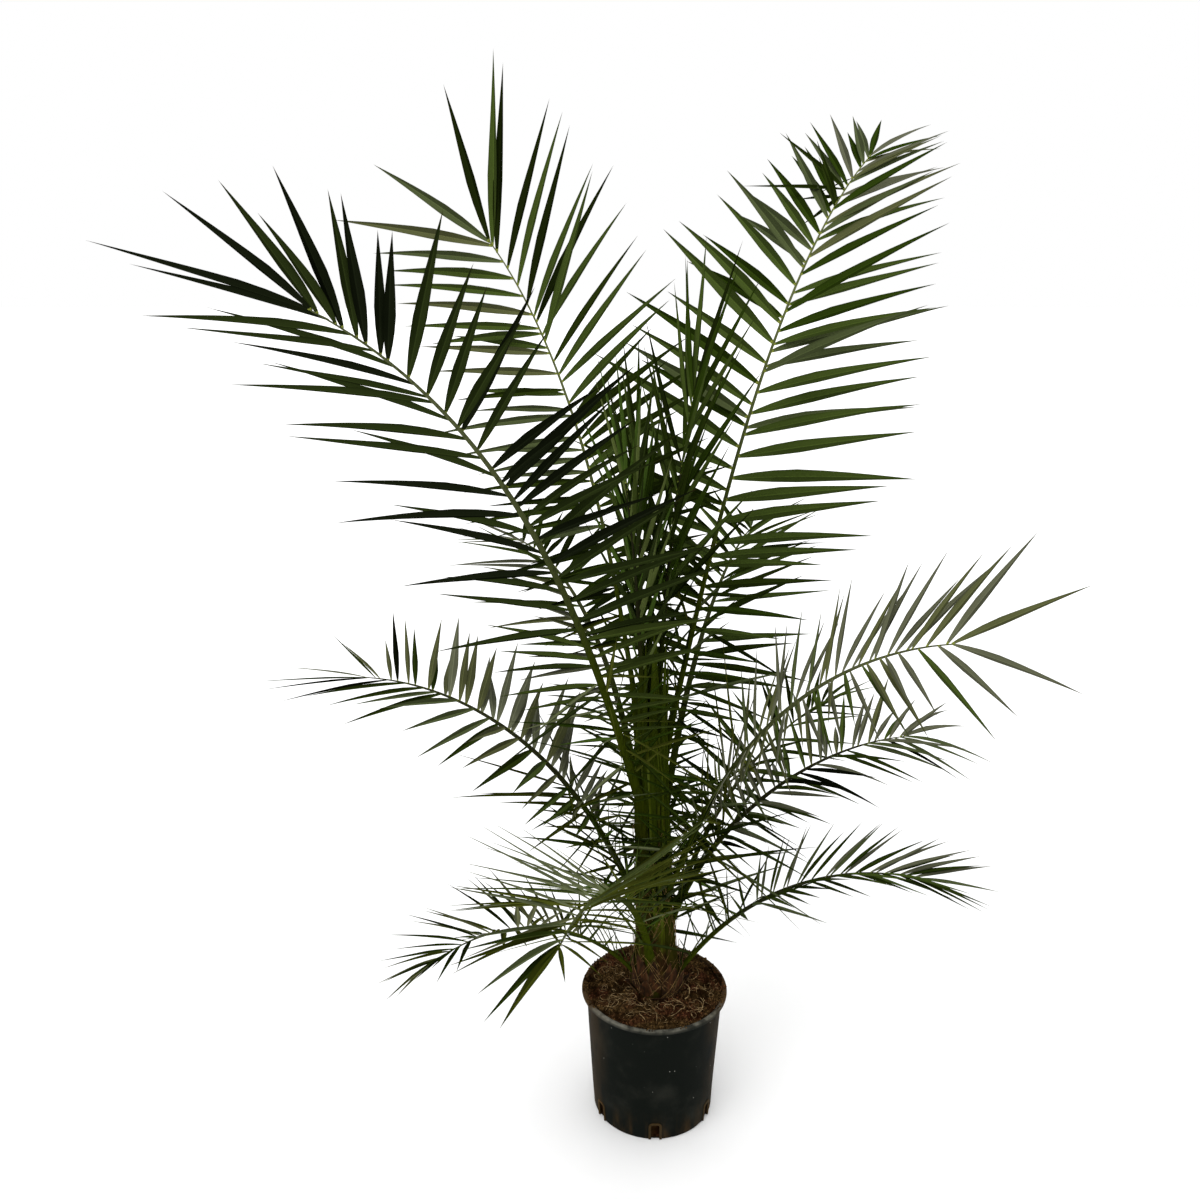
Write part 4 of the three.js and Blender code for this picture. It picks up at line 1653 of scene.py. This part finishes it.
@dataclass
class PalmStem:
    """The stem, its young stalks, the old leaf bases round its foot and the fibres on it."""

    tubes: TubeTool
    skin: StemSkin = StemSkin("stem_skin")
    bract: Bract = Bract("old_leaf_base")
    fibre: Strand = Strand("stem_fibre", "4a3722", "8a7046", 90.0)
    stalk: RibSkin = RibSkin("stalk_skin", foot="1c2304", low="2b3506", middle="3a450f", tip="46521a")
    stalk_count: int = 14
    stalk_half_width: float = 0.0062
    rings: int = 150
    sides: int = 120
    sunk: float = 0.012
    bundles: int = 13
    ridge: float = 0.0036
    bract_count: int = 22
    fibre_count: int = 150
    fibre_half: float = 0.0005

    def build(self) -> list[bpy.types.Object]:
        """Makes the stem's core, its young stalks, its old leaf bases and its fibres.

        Returns:
            The finished pieces.
        """
        tubes = self.tubes.tubes
        return [
            settle(self.core(), "stem", "stem"),
            settle(tubes("young_stalks", self.stalks(), self.stalk, 8), "stem"),
            settle(tubes("old_leaf_bases", self.bracts(), self.bract, 12, 0.2), "stem"),
            settle(tubes("stem_fibres", self.fibres(), self.fibre, 3), "stem"),
        ]

    def stalks(self) -> list[list[Knot]]:
        """Young leaf stalks packed round the stem's upper end, each closing to a point.

        Returns:
            The knots of each stalk.
        """
        paths = []
        for i in range(self.stalk_count):
            out = around(i * GOLDEN_TURN)
            side = UP.cross(out)
            low = lerp(0.56, 0.72, i / self.stalk_count)
            high = 0.98 + 0.09 * wobble(i + 0.5)
            lean = 0.02 + 0.012 * wobble(i + 0.7)
            drift = 0.012 * wobble(i + 0.9)
            path = []
            for share in shares(12):
                height = lerp(low, high, share)
                snug = STEM.radius(min(height, STEM.top)) - 0.0045
                away = lerp(snug, lean, smooth(share)) if height > STEM.top - 0.1 else snug
                width = self.stalk_half_width * (1 - share ** 3) + 0.0006
                place = STEM.centre(height) + out * away + side * drift * share * share
                path.append(Knot(place, side, out, width, width * 0.8, along=lerp(0.12, 0.3, share)))
            paths.append(path)
        return paths

    def core(self) -> bpy.types.Object:
        """The core's skin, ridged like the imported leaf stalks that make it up.

        Returns:
            The finished piece.
        """
        rows = []
        ridges = []
        for share in shares(self.rings - 1):
            height = lerp(STEM.foot - self.sunk, STEM.top - 0.002, share)
            rise = smooth((height - STEM.foot - 0.05) / 0.2)
            row = []
            for turn in turns(self.sides):
                spot = around(turn, 1.0, height * 2)
                drift = noise.noise(spot * 1.3) * 0.5
                lobe = abs(math.sin(self.bundles / 2 * (turn + height * 0.7 + drift)))
                rough = noise.noise(spot * 9) * 0.0012 + noise.noise(spot * 36) * 0.0008 * (1 - rise)
                away = STEM.radius(height) - 0.002 + (lobe - 0.9) * self.ridge * (0.3 + 1.7 * rise) + rough
                row.append(STEM.centre(height) + around(turn, away))
                ridges.append(lerp(1, lobe, rise))
            rows.append(row)
        made = skin("palm_stem", rows, self.skin)
        carry(made.data, "ridge", ridges)
        return made

    def bracts(self) -> list[list[Knot]]:
        """Pointed old bases in a spiral round the swollen foot.

        Returns:
            The knots of each base.
        """
        paths = []
        for i in range(self.bract_count):
            share = i / self.bract_count
            low = STEM.foot - 0.006 + 0.05 * share
            tall = lerp(0.036, 0.055, share) + 0.022 * wobble(i + 0.2)
            wide = lerp(0.02, 0.013, share) * (1 + 0.2 * wobble(i + 0.4))
            out = around(i * GOLDEN_TURN)
            side = UP.cross(out)
            lean = lerp(0.02, 0.006, smooth(share * 2)) + 0.004 * wobble(i + 0.6)
            path = []
            for up in shares(8):
                height = low + tall * up
                away = STEM.radius(height) + 0.0005 + lean * up * up
                width = max(0.0008, wide * (1 - up ** 1.6) ** 0.8)
                place = STEM.centre(height) + out * away + side * (0.011 * wobble(i + 0.8) * up * up)
                path.append(Knot(place, side, -out, width, lerp(0.0022, 0.0009, up), along=up, hug=11))
            paths.append(path)
        return paths

    def fibres(self) -> list[list[Knot]]:
        """Thin fibres that cling to the stem, slanting both ways, with some loose near its foot.

        Returns:
            The knots of each fibre.
        """
        draw = random.Random(5)
        paths = []
        for _ in range(self.fibre_count):
            low = STEM.foot + 0.30 * draw.random() ** 1.6
            turn = draw.uniform(0, math.tau)
            slant = draw.choice((-1, 1)) * draw.uniform(0.3, 1.4)
            tall = draw.uniform(0.03, 0.09)
            loose = draw.uniform(0.002, 0.012) if low < 0.34 else draw.uniform(0.001, 0.004)
            path = []
            for share in shares(6):
                height = low + tall * share
                out = around(turn + slant * share)
                place = STEM.centre(height) + out * (STEM.radius(height) + 0.002 + loose * share * share)
                path.append(Knot(place, UP.cross(out), out, self.fibre_half, self.fibre_half, along=share))
            paths.append(path)
        return paths


# Pot and soil

@dataclass
class NurseryPot:
    """The round pot with its rolled lip and arched drain openings."""

    tubes: TubeTool
    plastic: MouldedPlastic = MouldedPlastic("pot_plastic")
    worn: MouldedPlastic = MouldedPlastic(
        "pot_plastic_worn", black="332817", stain="5a452a", stain_height=0.11,
    )
    height: float = 0.266
    base_radius: float = 0.1185
    neck_radius: float = 0.133
    wall: float = 0.0026
    floor: float = 0.004
    lip_height: float = 0.009
    lip_radius: float = 0.143
    lip_round: float = 0.0036
    wave: float = 0.0012
    wall_steps: int = 26
    sides: int = 192
    notches: int = 6
    notch_width: float = 0.018
    notch_height: float = 0.036
    notch_corner: float = 0.55
    cutter_depth: float = 0.02
    border: float = 0.0026

    def build(self) -> list[bpy.types.Object]:
        """Makes the pot's shell and the raised borders of its openings.

        Returns:
            The finished pieces.
        """
        shell = skin("nursery_pot", self.rows())
        self.cut(shell)
        shell.data.materials.clear()
        shell.data.materials.append(self.plastic.material())
        borders = self.tubes.tubes("drain_borders", self.borders(), self.worn, 8)
        return [settle(shell, "pot", "pot"), settle(borders, "pot")]

    def profile(self) -> list[tuple[float, float]]:
        """The wall's outline as radius and height, from the middle underneath to the middle inside.

        Returns:
            The outline's points.
        """
        under = self.height - self.lip_height
        outer = [(self.base_radius - 0.004, 0.0), (self.base_radius - 0.001, 0.0008)]
        for share in shares(self.wall_steps):
            radius = lerp(self.base_radius, self.neck_radius, share)
            outer.append((radius, lerp(0.003, under - 0.004, share)))
        outer += [(self.neck_radius + 0.0008, under - 0.0012), (self.neck_radius + 0.003, under)]
        turn = self.lip_round
        edge = self.lip_radius - turn
        outer.append((edge, under))
        outer += self.arc(edge, under + turn, turn, -90)
        outer += self.arc(self.lip_radius - turn * 1.4, self.height - turn * 1.4, turn * 1.4, 0)
        outer += self.arc(self.neck_radius + 0.004, self.height - 0.004, 0.004, 90)
        return outer + [(self.neck_radius - self.wall, under), (self.base_radius - self.wall, self.floor)]

    @staticmethod
    def arc(x: float, z: float, radius: float, start: float) -> list[tuple[float, float]]:
        """Points of a quarter turn round a centre, from an angle in degrees."""
        angles = [math.radians(lerp(start, start + 90, share)) for share in shares(5)]
        return [(x + radius * math.cos(a), z + radius * math.sin(a)) for a in angles]

    def rows(self) -> list[list[Vector]]:
        """The profile turned round the axis, with the slight waves of a thin moulded wall.

        Returns:
            One ring for each point of the profile.
        """
        rows = []
        for radius, height in self.profile():
            row = []
            for turn in turns(self.sides):
                shift = noise.noise(around(turn, 1.4, height * 6)) * self.wave * smooth(height / 0.05)
                row.append(around(turn, radius + shift, height))
            rows.append(row)
        return rows

    def arch(self, grow: float = 0.0) -> list[tuple[float, float]]:
        """The opening's outline as width and height, from its left foot over the arch to its right.

        Args:
            grow: How much wider the outline is to each side.

        Returns:
            The outline's points.
        """
        half = self.notch_width / 2 + grow
        spring = self.notch_height - self.notch_width / 2
        bow = []
        for share in shares(12):
            turn = math.radians(lerp(180, 0, share))
            across = math.copysign(abs(math.cos(turn)) ** self.notch_corner, math.cos(turn))
            bow.append((half * across, spring + half * abs(math.sin(turn)) ** self.notch_corner))
        return [(-half, 0.0), *bow, (half, 0.0)]

    def notch_ways(self) -> list[tuple[Vector, Vector]]:
        """The ways outwards and sideways at each opening, the first one at the front."""
        ways = [around(turn - math.pi / 2) for turn in turns(self.notches)]
        return [(out, UP.cross(out)) for out in ways]

    def cut(self, shell: bpy.types.Object) -> None:
        """Cuts the openings out of the shell.

        Args:
            shell: The pot's shell, which is changed.
        """
        work = bmesh.new()
        near = self.base_radius - self.wall - 0.0015
        outline = [(x, z if z > 0 else -0.01) for x, z in self.arch()]
        for out, side in self.notch_ways():
            inside, outside = (
                [work.verts.new(out * away + side * x + UP * z) for x, z in outline]
                for away in (near, near + self.cutter_depth)
            )
            work.faces.new(inside)
            work.faces.new(list(reversed(outside)))
            for i, low in enumerate(inside):
                after = (i + 1) % len(inside)
                work.faces.new([low, outside[i], outside[after], inside[after]])
        bmesh.ops.recalc_face_normals(work, faces=work.faces)
        mesh = bpy.data.meshes.new("notch_cutter")
        work.to_mesh(mesh)
        work.free()
        cutter = link("notch_cutter", mesh)
        modifier = shell.modifiers.new("notches", "BOOLEAN")
        modifier.object = cutter
        modifier.operation = "DIFFERENCE"
        modifier.solver = "EXACT"
        shell.data = evaluated(shell)
        bpy.data.objects.remove(cutter)

    def borders(self) -> list[list[Knot]]:
        """The raised edge round each opening.

        Returns:
            The knots of each border.
        """
        paths = []
        outline = self.arch(self.border * 0.6)
        for out, side in self.notch_ways():
            path = []
            for i, (x, z) in enumerate(outline):
                before = outline[max(0, i - 1)]
                after = outline[min(len(outline) - 1, i + 1)]
                along = (side * (after[0] - before[0]) + UP * (after[1] - before[1])).normalized()
                bend = math.sqrt(max(0.0, self.base_radius ** 2 - x * x)) - self.base_radius
                slope = (self.neck_radius - self.base_radius) / self.height * z
                place = out * (self.base_radius + bend + slope + 0.0004) + side * x + UP * max(z, 0.0012)
                path.append(Knot(place, along.cross(out), out, self.border, self.border * 0.6))
            paths.append(path)
        return paths


class SoilTool(GeometryTool):
    """Scatters crumbs over the soil's top."""

    def __init__(self) -> None:
        """Builds the tree: seeded points on the faces that carry top, a squashed crumb on each."""
        super().__init__(
            "crumbs_on_soil", Density="Float", Smallest="Float", Largest="Float", Seed="Int",
            Finish="Material",
        )
        graph = self.graph
        points = graph.node("GeometryNodeDistributePointsOnFaces", {
            "Mesh": self.given("Geometry"), "Selection": graph.number("top").apply("GREATER_THAN", 0.5),
            "Density": self.given("Density"), "Seed": self.given("Seed"),
        })
        crumb = graph.node("GeometryNodeMeshIcoSphere", {"Radius": 1.0, "Subdivisions": 1})
        spin = self.chance("FLOAT_VECTOR", {0: (0, 0, 0), 1: (math.tau, math.tau, math.tau), "Seed": 1})
        stretch = self.chance("FLOAT_VECTOR", {0: (0.5, 0.5, 0.5), 1: (1.6, 1.1, 1.0), "Seed": 2})
        size = self.chance("FLOAT", {2: self.given("Smallest"), 3: self.given("Largest"), "Seed": 3})
        scale = Arrow(graph, stretch.outputs[0]) * Value(graph, size.outputs[1])
        self.end_dressed(graph.node("GeometryNodeInstanceOnPoints", {
            "Points": points, "Instance": crumb, "Rotation": spin, "Scale": scale,
        }))

    def chance(self, kind: str, inputs: dict) -> bpy.types.Node:
        """A random value with a seed of its own."""
        return self.graph.node("FunctionNodeRandomValue", inputs, data_type=kind)


@dataclass
class PottingSoil:
    """The compost: its mound, crumbs and the pale root threads on it."""

    tubes: TubeTool
    compost: Compost = Compost("compost")
    crumbs: Compost = Compost("compost_crumbs", "180e05", "6a5232", "66402a", 240.0)
    thread: Strand = Strand("root_thread", "503c24", "a78f68", 90.0)
    floor: float = 0.0043
    base_radius: float = 0.1153
    neck_radius: float = 0.1298
    edge: float = 0.2625
    crown: float = 0.2665
    lip_top: float = 0.2662
    lip_reach: float = 0.1405
    crown_radius: float = 0.046
    sides: int = 160
    rings: int = 60
    thread_count: int = 95
    thread_steps: int = 14
    long_count: int = 11
    long_growth: float = 1.6
    long_curl: float = 0.35
    lumps: float = 42

    def build(self) -> list[bpy.types.Object]:
        """Makes the mound, the crumbs and the threads.

        Returns:
            The finished pieces.
        """
        mound = skin("potting_soil", self.rows(False), self.compost)
        scatter = skin("soil_crumbs", self.rows(True))
        carry(scatter.data, "top", [self.shows(face) for face in scatter.data.polygons], domain="FACE")
        SoilTool().run(
            scatter, Density=52000.0, Smallest=0.0008, Largest=0.0034, Seed=11,
            Finish=self.crumbs.material(),
        )
        threads = self.tubes.tubes("root_threads", self.threads(), self.thread, 5)
        return [settle(mound, "soil", "soil"), settle(scatter, "soil"), settle(threads, "soil")]

    def surface(self, x: float, y: float) -> float:
        """Height of the soil's top at a place.

        Args:
            x: The place across.
            y: The place in depth.

        Returns:
            The height.
        """
        mound = lerp(self.crown, self.edge, smooth((math.hypot(x, y) - self.crown_radius) / 0.075))
        spot = Vector((x * self.lumps, y * self.lumps, 0.3))
        return mound + (
            noise.noise(spot) * 0.005 + noise.noise(spot * 2.7) * 0.003 + noise.noise(spot * 7) * 0.0015
        )

    def shows(self, face: bpy.types.MeshPolygon) -> float:
        """1 where crumbs lie on a face: on the soil's top, and in patches on the lip.

        Args:
            face: A face of the crumbs' carrier.

        Returns:
            1 or 0.
        """
        spot = face.center
        if spot.z < self.edge - 0.008 or face.normal.z < 0.3:
            return 0.0
        if math.hypot(spot.x, spot.y) < self.neck_radius:
            return 1.0
        return float(noise.noise(spot * 30) + spot.y * 6 > -0.45)

    def rows(self, spilt: bool) -> list[list[Vector]]:
        """Rings from the floor up the wall, or from the pot's lip if spilt, over the lumpy top.

        Args:
            spilt: Whether the rings start on the pot's lip.

        Returns:
            The rings, from the outermost in.
        """
        ways = [around(turn) for turn in turns(self.sides)]
        if spilt:
            middle = lerp(self.lip_reach, self.neck_radius, 0.5)
            starts = [(reach, self.lip_top) for reach in (self.lip_reach, middle, self.neck_radius + 0.002)]
        else:
            starts = [(self.base_radius, self.floor), (self.neck_radius, self.edge - 0.012)]
        rows = [[way * reach + UP * height for way in ways] for reach, height in starts]
        for i in range(self.rings):
            away = self.neck_radius * (1 - i / self.rings) + 0.0004
            rows.append([way * away + UP * self.surface(way.x * away, way.y * away) for way in ways])
        return rows

    def threads(self) -> list[list[Knot]]:
        """Curly threads that lie on the soil.

        Returns:
            The knots of each thread.
        """
        draw = random.Random(21)
        steps = self.thread_steps
        paths = []
        for number in range(self.thread_count + self.long_count):
            long_one = number >= self.thread_count
            away = self.neck_radius * math.sqrt(draw.uniform(0.12, 0.9))
            turn = draw.uniform(0, math.tau)
            if long_one:
                away = self.neck_radius * draw.uniform(0.5, 0.92)
                turn = math.radians(draw.uniform(190, 350))
            x, y = away * math.cos(turn), away * math.sin(turn)
            heading = draw.uniform(0, math.tau)
            curl = draw.uniform(-9, 9) * (self.long_curl if long_one else 1)
            grow = self.long_growth if long_one else 1
            long = draw.uniform(0.02, 0.075) * grow
            thick = draw.uniform(0.00025, 0.00065) * grow
            arch = draw.uniform(0.001, 0.006) * grow
            path = []
            for share in shares(steps):
                heading += curl / steps + draw.uniform(-0.35, 0.35)
                x += math.cos(heading) * long / steps
                y += math.sin(heading) * long / steps
                if math.hypot(x, y) > self.neck_radius - 0.003:
                    break
                height = self.surface(x, y) + thick + arch * math.sin(math.pi * share) ** 2
                side = Vector((-math.sin(heading), math.cos(heading), 0))
                half = thick * (1 - 0.6 * share)
                path.append(Knot(Vector((x, y, height)), side, UP, half, half, along=share))
            if len(path) > 4:
                paths.append(path)
        return paths


# Floor, light and camera

@dataclass
class Studio:
    """The pale floor, the soft lights and the camera at the photograph's angle."""

    floor_size: float = 60.0
    floor_grey: float = 0.86
    floor_rough: float = 0.9
    camera_place: Triple = (-0.107, -1.945, 1.665)
    pitch_down: float = 17.2
    focal_share: float = 1150 / 1200
    sensor: float = 36.0

    def build(self) -> None:
        """Makes the floor, the sky, the lights and the camera."""
        bpy.context.scene.view_settings.view_transform = "Standard"
        self.make_floor()
        self.make_sky()
        self.make_sun("key_sun", (-0.35, -0.45, 1.0), 1.3, 35.0)
        self.make_sun("top_sun", (0.4, 0.5, 1.6), 0.9, 60.0)
        self.make_camera()

    def make_floor(self) -> None:
        """A plain pale floor."""
        half = self.floor_size / 2
        spots = [(-half, -half, 0), (half, -half, 0), (half, half, 0), (-half, half, 0)]
        mesh = make_mesh("floor", spots, (), [(0, 1, 2, 3)])
        made = bpy.data.materials.new("floor_paint")
        made.use_nodes = True
        shader = made.node_tree.nodes["Principled BSDF"]
        shader.inputs["Base Color"].default_value = (*[self.floor_grey] * 3, 1)
        shader.inputs["Roughness"].default_value = self.floor_rough
        mesh.materials.append(made)
        link("floor", mesh)

    def make_sky(self) -> None:
        """An even white surround."""
        world = bpy.data.worlds.new("surround")
        world.use_nodes = True
        world.node_tree.nodes["Background"].inputs["Color"].default_value = (1, 1, 1, 1)
        world.node_tree.nodes["Background"].inputs["Strength"].default_value = 1.0
        bpy.context.scene.world = world

    def make_sun(self, name: str, source: Triple, power: float, spread: float) -> None:
        """A soft distant light from the direction of source, spread in degrees.

        Args:
            name: The light's name.
            source: Where it comes from.
            power: Its strength.
            spread: How wide it looks, in degrees.
        """
        data = bpy.data.lights.new(name, "SUN")
        data.energy = power
        data.angle = math.radians(spread)
        link(name, data).rotation_euler = Vector(source).to_track_quat("Z", "Y").to_euler()

    def make_camera(self) -> None:
        """The camera, from the pot's ellipses in the photograph."""
        data = bpy.data.cameras.new("camera")
        data.sensor_width = self.sensor
        data.lens = self.sensor * self.focal_share
        made = link("camera", data)
        made.location = self.camera_place
        made.rotation_euler = (math.radians(90 - self.pitch_down), 0, 0)
        bpy.context.scene.camera = made


def main() -> None:
    """Builds every sub-assembly in order."""
    logging.basicConfig(level=logging.INFO, format="%(name)s %(message)s")
    tubes = TubeTool()
    for assembly in (NurseryPot(tubes), PottingSoil(tubes), PalmStem(tubes), Crown(tubes)):
        for piece in assembly.build():
            triangles = sum(len(face.vertices) - 2 for face in piece.data.polygons)
            LOG.info("%s: %d triangles", piece.name, triangles)
    Studio().build()


if __name__ == "__main__":
    main()
